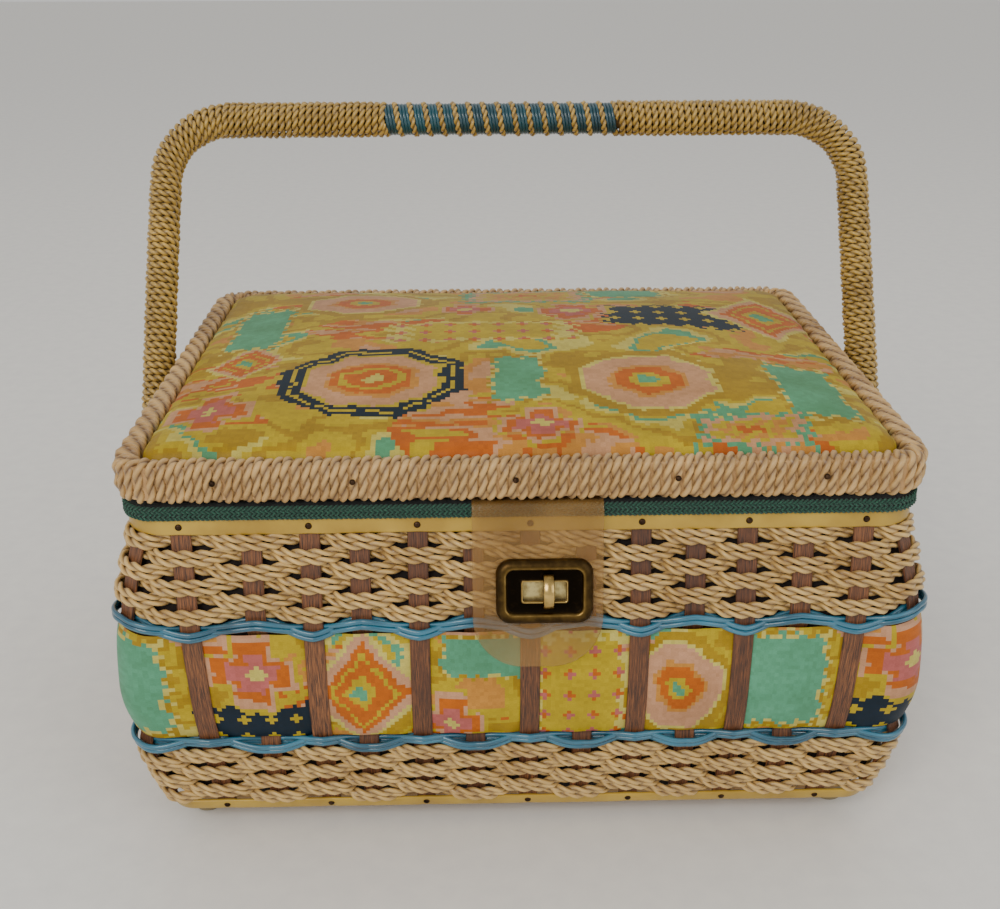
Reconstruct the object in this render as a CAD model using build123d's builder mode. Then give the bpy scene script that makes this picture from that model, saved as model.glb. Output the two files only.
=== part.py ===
"""Wicker sewing basket with a padded lid, a strap with a turn lock and a swing handle.
Units are millimetres. The origin is the centre of the floor under the feet,
Z points up, X runs along the length and the front with the lock faces -Y."""

import math
import os

from build123d import *

os.makedirs("parts", exist_ok=True)

# Lid outline, which every other outline is measured from.
LID_LENGTH = 318.0
LID_DEPTH = 238.7
HALF_X = LID_LENGTH / 2
HALF_Y = LID_DEPTH / 2

# Wall profile: height, offset of the front stakes' outer face from the lid outline, corner radius.
PROFILE = [
    (10.3, -8.3, 10.9),
    (20.0, -3.5, 12.0),
    (40.0, 1.0, 14.0),
    (46.0, 2.5, 15.0),
    (70.0, 7.0, 17.0),
    (100.0, 6.5, 20.0),
    (111.0, 5.0, 21.0),
    (130.0, 0.5, 18.5),
    (145.5, -4.0, 16.0),
    (152.0, -5.0, 15.5),
]

# Heights of the wall's zones.
FEET_TOP = 10.8
WALL_BOTTOM = 10.3
BASE_STRIP_TOP = 16.2
LOWER_TWINING = (49.0, 55.6)
BAND = (51.0, 107.0)
UPPER_TWINING = (101.5, 111.0)
RIM_STRIP = (145.5, 152.0)
BRAID_TOP = 157.6
LID_BOTTOM = 159.0

# Thickness of the wall's layers.
STAKE_WIDTH = 8.0
CORNER_STAKE_WIDTH = 6.0
STAKE_THICKNESS = 1.5
CLOTH = 0.8
WEAVE_THICKNESS = 3.0
TWINING_THICKNESS = 3.2
STRIP_THICKNESS = 1.5
LINING_THICKNESS = 1.2
LINING_CLEARANCE = 1.2
CORNER_STAKE_CLEARANCE = 0.35
BAND_OUTER = -STAKE_THICKNESS
BAND_INNER = BAND_OUTER - CLOTH
WALL_INNER = BAND_INNER - STAKE_THICKNESS
LINING_OUTER = WALL_INNER - LINING_CLEARANCE
LINING_INNER = LINING_OUTER - LINING_THICKNESS

# Stakes: front and back 7 + 6, each side 5 + 4, one at each corner.
STAKE_PITCH = 44.8
FRONT_LONG = [STAKE_PITCH * i for i in range(-3, 4)]
BACK_LONG = [STAKE_PITCH * (i + 0.5) for i in range(-3, 3)]
FRONT_SHORT = [STAKE_PITCH * i for i in range(-2, 3)]
BACK_SHORT = [STAKE_PITCH * (i + 0.5) for i in range(-2, 2)]

# Top frame, a wooden ring inside the wall.
FRAME_OUTER = -9.2
FRAME_WALL = 6.0
FRAME_INNER = FRAME_OUTER - FRAME_WALL
FRAME_CORNER = 13.5
TOP_FRAME = (126.0, 157.6)

# Base.
BOARD_THICKNESS = 5.0
BOARD_CORNER = 9.2
BOARD_GAP = 0.1
FLOOR_PAD = 2.0
FOOT_RADIUS = 6.5
FOOT_X = 139.5
FOOT_Y = 97.0
FOOT_FILLET = 2.0

# Tacks.
TACK_RADIUS = 1.9
TACK_HEAD = 1.0
TACK_SUNK = 0.6
RIM_TACK_RADIUS = 1.4
RIM_TACK_HEAD = 0.8
RIM_TACKS_FRONT = (-118.0, -65.0, -3.0, 59.0, 116.0)
RIM_TACKS_BACK = (-126.0, -42.0, 42.0, 126.0)
RIM_TACKS_SIDE = (-60.0, 60.0)

# Lid.
RIM_TOP = 176.5
RIM_RADIUS = 16.0
RIM_WIDTH = 10.5
RIM_WRAP = 2.0
RIM_FILLET = 1.9
BRAID_CORNER = RIM_RADIUS - 0.6
BOARD_BOTTOM = 163.5
LID_BOARD_THICKNESS = 4.0
LID_CLOTH = 1.0
CUSHION_CROWN = 188.5
CUSHION_GAP = 0.15
CUSHION_SIDE = 7.5
CUSHION_CORNER = 7.0
CUSHION_TUCK = 1.2
CUSHION_EDGE = 0.6
CROWN_REACH = 78.0
CROWN_ROUNDING = 20.0
CROWN_STEPS = 7

# Hinges at the back.
HINGE_X = 80.0
HINGE_AXIS_Y = HALF_Y + 2.6
HINGE_AXIS_Z = 158.8
HINGE_LENGTH = 36.0
KNUCKLE_RADIUS = 2.3
HINGE_PIN_RADIUS = 1.0
HINGE_CLEARANCE = 0.05
LEAF = 1.1
WEB_RAISE = 0.2
BORE_MARGIN = 4.0
MIDDLE_KNUCKLE = 12.0
KNUCKLE_END_GAP = 0.3
KNUCKLE_SIDE_GAP = 0.3
LOWER_LEAF_BOTTOM = 146.5
UPPER_LEAF_TOP = 171.5
BRAID_OUTER = -1.6
LOWER_LEAF_Y = HALF_Y + BRAID_OUTER
UPPER_LEAF_Y = HALF_Y
LOWER_SCREW_Z = 153.3
UPPER_SCREW_Z = 167.0
SCREW_SPACING = 24.0
SCREW_RADIUS = 1.2
SCREW_HEAD_RADIUS = 2.4
SCREW_HEAD = 1.2
SCREW_DEPTH = 9.0
LEAF_HOLE_LENGTH = 6.0

# Handle: plane tilted back at rest, bar between two parallel arms.
PIVOT_Y = 0.0
PIVOT_Z = 137.0
WALL_HOLE_CENTRE = 151.0
WALL_HOLE_LENGTH = 44.0
STAKE_HOLE_CLEARANCE = 0.3
HANDLE_TILT = 30.0
ARM_X = 170.0
HANDLE_REACH = 158.0
HANDLE_BEND = 31.0
CORE_RADIUS = 5.0
WRAP_CORD = 2.3
WRAP_GAP = 0.15
WRAP_RADIUS = CORE_RADIUS + WRAP_GAP + WRAP_CORD
GRIP_TURNS = 16
GRIP_PITCH = 7.2
GRIP_CENTRE = -4.0
GRIP_CORD = 2.7
SLEEVE_START = 12.0
SLEEVE_GAP = 0.4
SLEEVE_LENGTHS = 5
SLEEVE_JOINT = 0.1
EYE_RADIUS = 8.0
EYE_HALF_THICKNESS = 4.3
EYE_CUT = 4.0
BOLT_RADIUS = 2.5
RUNNING = 0.05
BOLT_HEAD_RADIUS = 5.5
BOLT_HEAD = 2.4
SPACER_RADIUS = 5.0
SPACER_OUT = 163.3
PIVOT_SIDE_GAP = 0.25
BOLT_FILLET = 1.6
BOLT_TIP = 1.5
CUT_MARGIN = 1.0
WASHER_RADIUS = 7.0
WASHER = 1.6
NUT_RADIUS = 5.0
NUT = 4.0

# Lock on the front, leaning with the upper weave.
LOCK_X = 9.5
LOCK_Z = 124.0
LOCK_LEAN = math.degrees(math.atan(4.5 / 19.0))
LOCK_GAP = 0.05
LOCK_BASE = (22.0, 14.0, 1.0)
LOCK_BASE_CORNER = 2.5
POST_SUNK = 0.4
LOCK_CUT = 1.0
POST_RADIUS = 1.2
FLAP_GAP = 0.4
FLAP_WIDTH = 51.0
FLAP_SHIFT = -4.0
FLAP_THICKNESS = 1.0
FLAP_REACH = 31.0
FLAP_CORNER = 20.0
FLAP_BEND = 24.5
FLAP_TAB_Y = 111.0
FLAP_FOLD_Y = 118.6
SLOT_SIZE = (17.0, 8.0)
PLATE_SIZE = (38.0, 26.0, 2.8)
PLATE_CORNER = 6.0
PLATE_FILLET = 2.2
PLATE_SHIFT = -1.5
WELL_SIZE = (29.0, 17.0, 1.6)
WELL_CORNER = 2.5
KNOB_WIDTH = 4.2
KNOB_LENGTH = 13.0
KNOB_GAP = 0.4
KNOB_STRAP = 1.3
KNOB_ARCH = 4.4
KNOB_HUB_RADIUS = 2.05
KNOB_CLEARANCE = 0.05
STRAP_TACK_X = 15.0
STRAP_TACK_Y = 114.0
STRAP_TACK_HEAD = (1.5, 0.3)
STRAP_TACK_SHANK = (0.6, 6.0)
STRAP_HOLE = (0.7, 4.0)


def profile_at(height):
    """Offset and corner radius of the front stakes' outer face at a height."""
    for low, high in zip(PROFILE, PROFILE[1:]):
        if low[0] <= height <= high[0]:
            part = (height - low[0]) / (high[0] - low[0])
            offset = low[1] + part * (high[1] - low[1])
            radius = low[2] + part * (high[2] - low[2])
            return offset, radius
    last = PROFILE[-1] if height > PROFILE[-1][0] else PROFILE[0]
    return last[1], last[2]


def levels_between(bottom, top):
    """The heights where the wall's slope changes, with both ends."""
    inner = [row[0] for row in PROFILE if bottom + 0.01 < row[0] < top - 0.01]
    return [bottom] + inner + [top]


def outline(height, offset, radius):
    """One rounded rectangle of the wall, drawn at a height."""
    with BuildSketch(Plane.XY.offset(height)) as section:
        RectangleRounded(2 * (HALF_X + offset), 2 * (HALF_Y + offset), radius)
    return section.sketch


def wall_ring(bottom, top, outer, inner):
    """A ring that follows the wall between two offsets from the stakes' outer face."""
    outside = []
    inside = []
    for height in levels_between(bottom, top):
        offset, radius = profile_at(height)
        outside.append(outline(height, offset + outer, radius + outer))
        inside.append(outline(height, offset + inner, radius + inner))
    loft(outside, ruled=True)
    loft(inside, ruled=True, mode=Mode.SUBTRACT)


def plain_ring(bottom, top, outer, inner, radius):
    """A straight ring between two offsets from the lid outline."""
    extrude(outline(bottom, outer, radius), amount=top - bottom)
    extrude(outline(bottom, inner, radius + inner - outer), amount=top - bottom, mode=Mode.SUBTRACT)


def stake(side, along, outer, top):
    """One flat stake: side is the direction it faces, along its place on that side."""
    sections = []
    for height in levels_between(WALL_BOTTOM, top):
        offset = profile_at(height)[0] + outer - STAKE_THICKNESS / 2
        with BuildSketch(Plane.XY.offset(height)) as section:
            if side in ("front", "back"):
                sign = -1 if side == "front" else 1
                with Locations((along, sign * (HALF_Y + offset))):
                    Rectangle(STAKE_WIDTH, STAKE_THICKNESS)
            else:
                sign = -1 if side == "left" else 1
                with Locations((sign * (HALF_X + offset), along)):
                    Rectangle(STAKE_THICKNESS, STAKE_WIDTH)
        sections.append(section.sketch)
    loft(sections, ruled=True)


def corner_stake(sign_x, sign_y, outer, top):
    """One narrower flat stake set across a corner."""
    sections = []
    for height in levels_between(WALL_BOTTOM, top):
        offset, radius = profile_at(height)
        reach = radius + outer - STAKE_THICKNESS / 2
        flat = math.sqrt(reach ** 2 - (CORNER_STAKE_WIDTH / 2) ** 2) - CORNER_STAKE_CLEARANCE
        centre_x = HALF_X + offset - radius + flat / math.sqrt(2)
        centre_y = HALF_Y + offset - radius + flat / math.sqrt(2)
        with BuildSketch(Plane.XY.offset(height)) as section:
            with Locations(Location((sign_x * centre_x, sign_y * centre_y), -45 * sign_x * sign_y)):
                Rectangle(CORNER_STAKE_WIDTH, STAKE_THICKNESS)
        sections.append(section.sketch)
    loft(sections, ruled=True)


def side_holes(radius):
    """Round holes through both side walls on the handle's pivot line."""
    for sign in (-1, 1):
        with Locations(Location((sign * WALL_HOLE_CENTRE, PIVOT_Y, PIVOT_Z), (0, 90, 0))):
            Cylinder(radius, WALL_HOLE_LENGTH, mode=Mode.SUBTRACT)


def head_on_side(side, along, height, outer):
    """A tack head on the outer face of a strip, at a place along one side."""
    offset = profile_at(height)[0] + outer
    if side == "front":
        place = Location((along, -(HALF_Y + offset), height), (90, 0, 0))
    elif side == "back":
        place = Location((along, HALF_Y + offset, height), (-90, 0, 0))
    elif side == "left":
        place = Location((-(HALF_X + offset), along, height), (0, -90, 0))
    else:
        place = Location((HALF_X + offset, along, height), (0, 90, 0))
    return place


def tack_places(height, outer):
    """Places of one row of tacks, over every front stake."""
    places = []
    for side in ("front", "back"):
        for along in FRONT_LONG:
            places.append(head_on_side(side, along, height, outer))
    for side in ("left", "right"):
        for along in FRONT_SHORT:
            places.append(head_on_side(side, along, height, outer))
    return places


# Basket base.
with BuildPart() as base_board:
    board_offset = profile_at(WALL_BOTTOM)[0] + WALL_INNER - BOARD_GAP
    extrude(outline(FEET_TOP, board_offset, BOARD_CORNER), amount=BOARD_THICKNESS)
base_board.part.label = "base_board"
export_step(base_board.part, "parts/base_board.step")

with BuildPart() as feet:
    for sign_x in (-1, 1):
        for sign_y in (-1, 1):
            with Locations((sign_x * FOOT_X, sign_y * FOOT_Y, FEET_TOP / 2)):
                Cylinder(FOOT_RADIUS, FEET_TOP)
    fillet(feet.edges().group_by(Axis.Z)[0], FOOT_FILLET)
feet.part.label = "feet"
export_step(feet.part, "parts/feet.step")

# Stakes.
STAKE_HOLE = SPACER_RADIUS + STAKE_HOLE_CLEARANCE
with BuildPart() as front_stakes:
    for side in ("front", "back"):
        for along in FRONT_LONG:
            stake(side, along, 0.0, RIM_STRIP[1])
    for side in ("left", "right"):
        for along in FRONT_SHORT:
            stake(side, along, 0.0, RIM_STRIP[1])
    side_holes(STAKE_HOLE)
front_stakes.part.label = "front_stakes"
export_step(front_stakes.part, "parts/front_stakes.step")

with BuildPart() as back_stakes:
    for side in ("front", "back"):
        for along in BACK_LONG:
            stake(side, along, BAND_INNER, RIM_STRIP[1])
    for side in ("left", "right"):
        for along in BACK_SHORT:
            stake(side, along, BAND_INNER, RIM_STRIP[1])
    for sign_x in (-1, 1):
        for sign_y in (-1, 1):
            corner_stake(sign_x, sign_y, BAND_INNER, RIM_STRIP[1])
back_stakes.part.label = "back_stakes"
export_step(back_stakes.part, "parts/back_stakes.step")

# Weave, twining and fabric band.
with BuildPart() as lower_weave:
    wall_ring(BASE_STRIP_TOP, LOWER_TWINING[0], WEAVE_THICKNESS, 0.0)
lower_weave.part.label = "lower_weave"
export_step(lower_weave.part, "parts/lower_weave.step")

with BuildPart() as lower_twining:
    wall_ring(LOWER_TWINING[0], LOWER_TWINING[1], TWINING_THICKNESS, 0.0)
lower_twining.part.label = "lower_twining"
export_step(lower_twining.part, "parts/lower_twining.step")

with BuildPart() as fabric_band:
    wall_ring(BAND[0], BAND[1], BAND_OUTER, BAND_INNER)
fabric_band.part.label = "fabric_band"
export_step(fabric_band.part, "parts/fabric_band.step")

with BuildPart() as upper_twining:
    wall_ring(UPPER_TWINING[0], UPPER_TWINING[1], TWINING_THICKNESS, 0.0)
upper_twining.part.label = "upper_twining"
export_step(upper_twining.part, "parts/upper_twining.step")

with BuildPart() as upper_weave:
    wall_ring(UPPER_TWINING[1], RIM_STRIP[0], WEAVE_THICKNESS, 0.0)
    side_holes(STAKE_HOLE)
upper_weave.part.label = "upper_weave"
export_step(upper_weave.part, "parts/upper_weave.step")

# Strips with their tacks, and the braid.
with BuildPart() as base_strip:
    wall_ring(WALL_BOTTOM, BASE_STRIP_TOP, STRIP_THICKNESS, 0.0)
base_strip.part.label = "base_strip"
export_step(base_strip.part, "parts/base_strip.step")

with BuildPart() as rim_strip:
    wall_ring(RIM_STRIP[0], RIM_STRIP[1], STRIP_THICKNESS, 0.0)
rim_strip.part.label = "rim_strip"
export_step(rim_strip.part, "parts/rim_strip.step")

TACK_MIDDLE = STRIP_THICKNESS + (TACK_HEAD - TACK_SUNK) / 2
with BuildPart() as base_tacks:
    with Locations(*tack_places((WALL_BOTTOM + BASE_STRIP_TOP) / 2, TACK_MIDDLE)):
        Cylinder(TACK_RADIUS, TACK_HEAD + TACK_SUNK)
base_tacks.part.label = "base_tacks"
export_step(base_tacks.part, "parts/base_tacks.step")

with BuildPart() as rim_tacks:
    with Locations(*tack_places(sum(RIM_STRIP) / 2, TACK_MIDDLE)):
        Cylinder(TACK_RADIUS, TACK_HEAD + TACK_SUNK)
rim_tacks.part.label = "rim_tacks"
export_step(rim_tacks.part, "parts/rim_tacks.step")

with BuildPart() as rim_braid:
    plain_ring(RIM_STRIP[1], BRAID_TOP, BRAID_OUTER, FRAME_OUTER, BRAID_CORNER)
rim_braid.part.label = "rim_braid"
export_step(rim_braid.part, "parts/rim_braid.step")

# Top frame and linings.
with BuildPart() as top_frame:
    plain_ring(TOP_FRAME[0], TOP_FRAME[1], FRAME_OUTER, FRAME_INNER, FRAME_CORNER)
    side_holes(BOLT_RADIUS + RUNNING)
top_frame.part.label = "top_frame"
export_step(top_frame.part, "parts/top_frame.step")

with BuildPart() as wall_lining:
    wall_ring(FEET_TOP + BOARD_THICKNESS, TOP_FRAME[0], LINING_OUTER, LINING_INNER)
wall_lining.part.label = "wall_lining"
export_step(wall_lining.part, "parts/wall_lining.step")

with BuildPart() as floor_pad:
    pad_offset = profile_at(FEET_TOP + BOARD_THICKNESS)[0] + LINING_INNER - BOARD_GAP
    extrude(outline(FEET_TOP + BOARD_THICKNESS, pad_offset, BOARD_CORNER), amount=FLOOR_PAD)
floor_pad.part.label = "floor_pad"
export_step(floor_pad.part, "parts/floor_pad.step")

# Lid.
FRAME_LOW = LID_BOTTOM + RIM_WRAP
FRAME_HIGH = RIM_TOP - RIM_WRAP
with BuildPart() as lid_frame:
    plain_ring(FRAME_LOW, FRAME_HIGH, -RIM_WRAP, -RIM_WIDTH + RIM_WRAP, RIM_RADIUS - RIM_WRAP)
lid_frame.part.label = "lid_frame"
export_step(lid_frame.part, "parts/lid_frame.step")

with BuildPart() as lid_rim_wrap:
    plain_ring(LID_BOTTOM, RIM_TOP, 0.0, -RIM_WIDTH, RIM_RADIUS)
    rim_edges = lid_rim_wrap.edges().group_by(Axis.Z)
    fillet(rim_edges[0] + rim_edges[-1], RIM_FILLET)
    add(lid_frame.part, mode=Mode.SUBTRACT)
lid_rim_wrap.part.label = "lid_rim_wrap"
export_step(lid_rim_wrap.part, "parts/lid_rim_wrap.step")

INSET = -RIM_WIDTH - CUSHION_GAP
with BuildPart() as lid_board:
    extrude(outline(BOARD_BOTTOM, -RIM_WIDTH, RIM_RADIUS - RIM_WIDTH), amount=LID_BOARD_THICKNESS)
lid_board.part.label = "lid_board"
export_step(lid_board.part, "parts/lid_board.step")

with BuildPart() as lid_lining:
    extrude(outline(BOARD_BOTTOM - LID_CLOTH, INSET, RIM_RADIUS - RIM_WIDTH), amount=LID_CLOTH)
lid_lining.part.label = "lid_lining"
export_step(lid_lining.part, "parts/lid_lining.step")

CUSHION_LOW = BOARD_BOTTOM + LID_BOARD_THICKNESS


def cushion_rows():
    """Height, inward distance and corner radius: a drawn-in side, then an elliptical crown."""
    rows = [
        (CUSHION_LOW, CUSHION_TUCK, CUSHION_CORNER - CUSHION_TUCK),
        (CUSHION_LOW + CUSHION_SIDE / 2, 0.0, CUSHION_CORNER),
    ]
    crown_low = CUSHION_LOW + CUSHION_SIDE
    for step in range(CROWN_STEPS + 1):
        angle = math.pi / 2 * step / CROWN_STEPS
        inward = CUSHION_EDGE + CROWN_REACH * (1 - math.cos(angle))
        radius = CUSHION_CORNER + CROWN_ROUNDING * (1 - math.cos(angle))
        rows.append((crown_low + (CUSHION_CROWN - crown_low) * math.sin(angle), inward, radius))
    return rows


with BuildPart() as lid_cushion:
    loft([outline(height, INSET - inward, radius) for height, inward, radius in cushion_rows()], ruled=True)
lid_cushion.part.label = "lid_cushion"
export_step(lid_cushion.part, "parts/lid_cushion.step")

with BuildPart() as lid_tacks:
    rim_middle = (LID_BOTTOM + RIM_TOP) / 2
    for sign, row in ((-1, RIM_TACKS_FRONT), (1, RIM_TACKS_BACK)):
        for along in row:
            with Locations(Location((along, sign * HALF_Y, rim_middle), (90, 0, 0))):
                Cylinder(RIM_TACK_RADIUS, 2 * RIM_TACK_HEAD)
        for along in RIM_TACKS_SIDE:
            with Locations(Location((sign * HALF_X, along, rim_middle), (0, 90, 0))):
                Cylinder(RIM_TACK_RADIUS, 2 * RIM_TACK_HEAD)
lid_tacks.part.label = "lid_tacks"
export_step(lid_tacks.part, "parts/lid_tacks.step")


def hinge_knuckle(centre, length):
    """One knuckle on the hinge axis, solid until its bore is cut."""
    with Locations(Location((centre, HINGE_AXIS_Y, HINGE_AXIS_Z), (0, 90, 0))):
        Cylinder(KNUCKLE_RADIUS, length)


def hinge_bore(centre, radius):
    """The hole for the pin through the knuckles of one leaf."""
    with Locations(Location((centre, HINGE_AXIS_Y, HINGE_AXIS_Z), (0, 90, 0))):
        Cylinder(radius, HINGE_LENGTH + BORE_MARGIN, mode=Mode.SUBTRACT)


def screw_places(centre, height):
    """Two screws of one leaf, side by side."""
    return [(centre - SCREW_SPACING / 2, height), (centre + SCREW_SPACING / 2, height)]


def lower_leaf(centre):
    """Leaf on the basket: a plate with two outer knuckles carried on webs."""
    top = HINGE_AXIS_Z - KNUCKLE_RADIUS - KNUCKLE_SIDE_GAP
    with Locations((centre, LOWER_LEAF_Y + LEAF / 2, (LOWER_LEAF_BOTTOM + top) / 2)):
        Box(HINGE_LENGTH, LEAF, top - LOWER_LEAF_BOTTOM)
    length = (HINGE_LENGTH - MIDDLE_KNUCKLE) / 2 - KNUCKLE_END_GAP
    reach = HINGE_AXIS_Y - LOWER_LEAF_Y
    for sign in (-1, 1):
        middle = centre + sign * (HINGE_LENGTH - length) / 2
        hinge_knuckle(middle, length)
        with Locations((middle, LOWER_LEAF_Y + reach / 2, top + WEB_RAISE)):
            Box(length, reach, LEAF)
    hinge_bore(centre, HINGE_PIN_RADIUS)
    for along, height in screw_places(centre, LOWER_SCREW_Z):
        with Locations(Location((along, LOWER_LEAF_Y, height), (90, 0, 0))):
            Cylinder(SCREW_RADIUS, LEAF_HOLE_LENGTH, mode=Mode.SUBTRACT)


def upper_leaf(centre):
    """Leaf on the lid: a plate with the middle knuckle."""
    low = HINGE_AXIS_Z + KNUCKLE_RADIUS + KNUCKLE_SIDE_GAP
    with Locations((centre, UPPER_LEAF_Y + LEAF / 2, (low + UPPER_LEAF_TOP) / 2)):
        Box(HINGE_LENGTH, LEAF, UPPER_LEAF_TOP - low)
    with Locations((centre, UPPER_LEAF_Y + LEAF / 2, (HINGE_AXIS_Z + low) / 2)):
        Box(MIDDLE_KNUCKLE, LEAF, low - HINGE_AXIS_Z)
    hinge_knuckle(centre, MIDDLE_KNUCKLE)
    hinge_bore(centre, HINGE_PIN_RADIUS + HINGE_CLEARANCE)
    for along, height in screw_places(centre, UPPER_SCREW_Z):
        with Locations(Location((along, UPPER_LEAF_Y, height), (90, 0, 0))):
            Cylinder(SCREW_RADIUS, LEAF_HOLE_LENGTH, mode=Mode.SUBTRACT)


def back_screws(places, face_y):
    """Round-head screws driven in from the back."""
    for along, height in places:
        with Locations(Location((along, face_y + SCREW_HEAD / 2, height), (90, 0, 0))):
            Cylinder(SCREW_HEAD_RADIUS, SCREW_HEAD)
        with Locations(Location((along, face_y - SCREW_DEPTH / 2, height), (90, 0, 0))):
            Cylinder(SCREW_RADIUS, SCREW_DEPTH)


for name, centre in (("left", -HINGE_X), ("right", HINGE_X)):
    with BuildPart() as hinge_lower:
        lower_leaf(centre)
    hinge_lower.part.label = "hinge_lower_" + name
    export_step(hinge_lower.part, "parts/hinge_lower_" + name + ".step")

    with BuildPart() as hinge_upper:
        upper_leaf(centre)
    hinge_upper.part.label = "hinge_upper_" + name
    export_step(hinge_upper.part, "parts/hinge_upper_" + name + ".step")

    with BuildPart() as hinge_pin:
        with Locations(Location((centre, HINGE_AXIS_Y, HINGE_AXIS_Z), (0, 90, 0))):
            Cylinder(HINGE_PIN_RADIUS, HINGE_LENGTH)
    hinge_pin.part.label = "hinge_pin_" + name
    export_step(hinge_pin.part, "parts/hinge_pin_" + name + ".step")

with BuildPart() as hinge_screws_lower:
    for centre in (-HINGE_X, HINGE_X):
        back_screws(screw_places(centre, LOWER_SCREW_Z), LOWER_LEAF_Y + LEAF)
hinge_screws_lower.part.label = "hinge_screws_lower"
export_step(hinge_screws_lower.part, "parts/hinge_screws_lower.step")

with BuildPart() as hinge_screws_upper:
    for centre in (-HINGE_X, HINGE_X):
        back_screws(screw_places(centre, UPPER_SCREW_Z), UPPER_LEAF_Y + LEAF)
hinge_screws_upper.part.label = "hinge_screws_upper"
export_step(hinge_screws_upper.part, "parts/hinge_screws_upper.step")

# Handle pivots: spacer in the wall, then washers, bolt and nut that turn together.
SPACER_IN = HALF_X + FRAME_OUTER
WASHER_IN = SPACER_OUT + PIVOT_SIDE_GAP
EYE_IN = ARM_X - EYE_HALF_THICKNESS
EYE_OUT = ARM_X + EYE_HALF_THICKNESS
HEAD_IN = EYE_OUT + PIVOT_SIDE_GAP
NUT_WASHER_OUT = HALF_X + FRAME_INNER - PIVOT_SIDE_GAP
NUT_OUT = NUT_WASHER_OUT - WASHER
NUT_IN = NUT_OUT - NUT


def side_disc(sign, near, far, radius, mode=Mode.ADD):
    """A disc or a hole on the pivot line, from near to far along X."""
    with Locations(Location((sign * (near + far) / 2, PIVOT_Y, PIVOT_Z), (0, 90, 0))):
        Cylinder(radius, far - near, mode=mode)


with BuildPart() as pivot_spacers:
    for sign in (-1, 1):
        side_disc(sign, SPACER_IN, SPACER_OUT, SPACER_RADIUS)
        side_disc(sign, SPACER_IN - CUT_MARGIN, SPACER_OUT + CUT_MARGIN, BOLT_RADIUS + RUNNING, Mode.SUBTRACT)
pivot_spacers.part.label = "pivot_spacers"
export_step(pivot_spacers.part, "parts/pivot_spacers.step")

with BuildPart() as pivot_bolts:
    for sign in (-1, 1):
        side_disc(sign, NUT_IN - BOLT_TIP, HEAD_IN, BOLT_RADIUS)
        side_disc(sign, HEAD_IN, HEAD_IN + BOLT_HEAD, BOLT_HEAD_RADIUS)
    outer_edges = pivot_bolts.edges().filter_by(GeomType.CIRCLE)
    fillet([outer_edges.sort_by(Axis.X)[0], outer_edges.sort_by(Axis.X)[-1]], BOLT_FILLET)
pivot_bolts.part.label = "pivot_bolts"
export_step(pivot_bolts.part, "parts/pivot_bolts.step")

with BuildPart() as pivot_washers:
    for sign in (-1, 1):
        side_disc(sign, WASHER_IN, WASHER_IN + WASHER, WASHER_RADIUS)
        side_disc(sign, NUT_OUT, NUT_WASHER_OUT, WASHER_RADIUS)
        side_disc(sign, NUT_OUT - CUT_MARGIN, WASHER_IN + WASHER + CUT_MARGIN, BOLT_RADIUS, Mode.SUBTRACT)
pivot_washers.part.label = "pivot_washers"
export_step(pivot_washers.part, "parts/pivot_washers.step")

with BuildPart() as pivot_nuts:
    for sign in (-1, 1):
        with BuildSketch(Plane(origin=(sign * NUT_IN, PIVOT_Y, PIVOT_Z), z_dir=(sign, 0, 0))) as hexagon:
            RegularPolygon(NUT_RADIUS, 6)
            Circle(BOLT_RADIUS, mode=Mode.SUBTRACT)
        extrude(hexagon.sketch, amount=NUT)
pivot_nuts.part.label = "pivot_nuts"
export_step(pivot_nuts.part, "parts/pivot_nuts.step")

# Handle, drawn upright in its own plane and then tilted back about the pivot.
HANDLE_PLANE = Plane(
    origin=(0, PIVOT_Y, PIVOT_Z),
    x_dir=(1, 0, 0),
    z_dir=(0, -math.cos(math.radians(HANDLE_TILT)), math.sin(math.radians(HANDLE_TILT))),
)
BEND_START = HANDLE_REACH - HANDLE_BEND
BAR_END = ARM_X - HANDLE_BEND


def handle_line(start):
    """Centre line of the handle from start on the left arm to start on the right arm."""
    with BuildLine(HANDLE_PLANE) as line:
        Line((-ARM_X, start), (-ARM_X, BEND_START))
        RadiusArc((-ARM_X, BEND_START), (-BAR_END, HANDLE_REACH), HANDLE_BEND)
        Line((-BAR_END, HANDLE_REACH), (BAR_END, HANDLE_REACH))
        RadiusArc((BAR_END, HANDLE_REACH), (ARM_X, BEND_START), HANDLE_BEND)
        Line((ARM_X, BEND_START), (ARM_X, start))
    return line


with BuildPart() as handle_core:
    centre_line = handle_line(0.0)
    with BuildSketch(Plane(origin=centre_line.wires()[0] @ 0, z_dir=centre_line.wires()[0] % 0)) as rod:
        Circle(CORE_RADIUS)
    sweep(rod.sketch, path=centre_line.wires()[0])
    for sign in (-1, 1):
        side_disc(sign, EYE_IN, EYE_OUT, EYE_RADIUS)
        side_disc(sign, EYE_OUT, EYE_OUT + EYE_CUT, EYE_RADIUS, Mode.SUBTRACT)
        side_disc(sign, EYE_IN - EYE_CUT, EYE_IN, EYE_RADIUS, Mode.SUBTRACT)
        side_disc(sign, EYE_IN - EYE_CUT, EYE_OUT + EYE_CUT, BOLT_RADIUS + RUNNING, Mode.SUBTRACT)
handle_core.part.label = "handle_core"
export_step(handle_core.part, "parts/handle_core.step")

GRIP_HALF = GRIP_TURNS * GRIP_PITCH / 2
GRIP_END = GRIP_HALF + GRIP_CORD / 2 + SLEEVE_GAP


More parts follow.
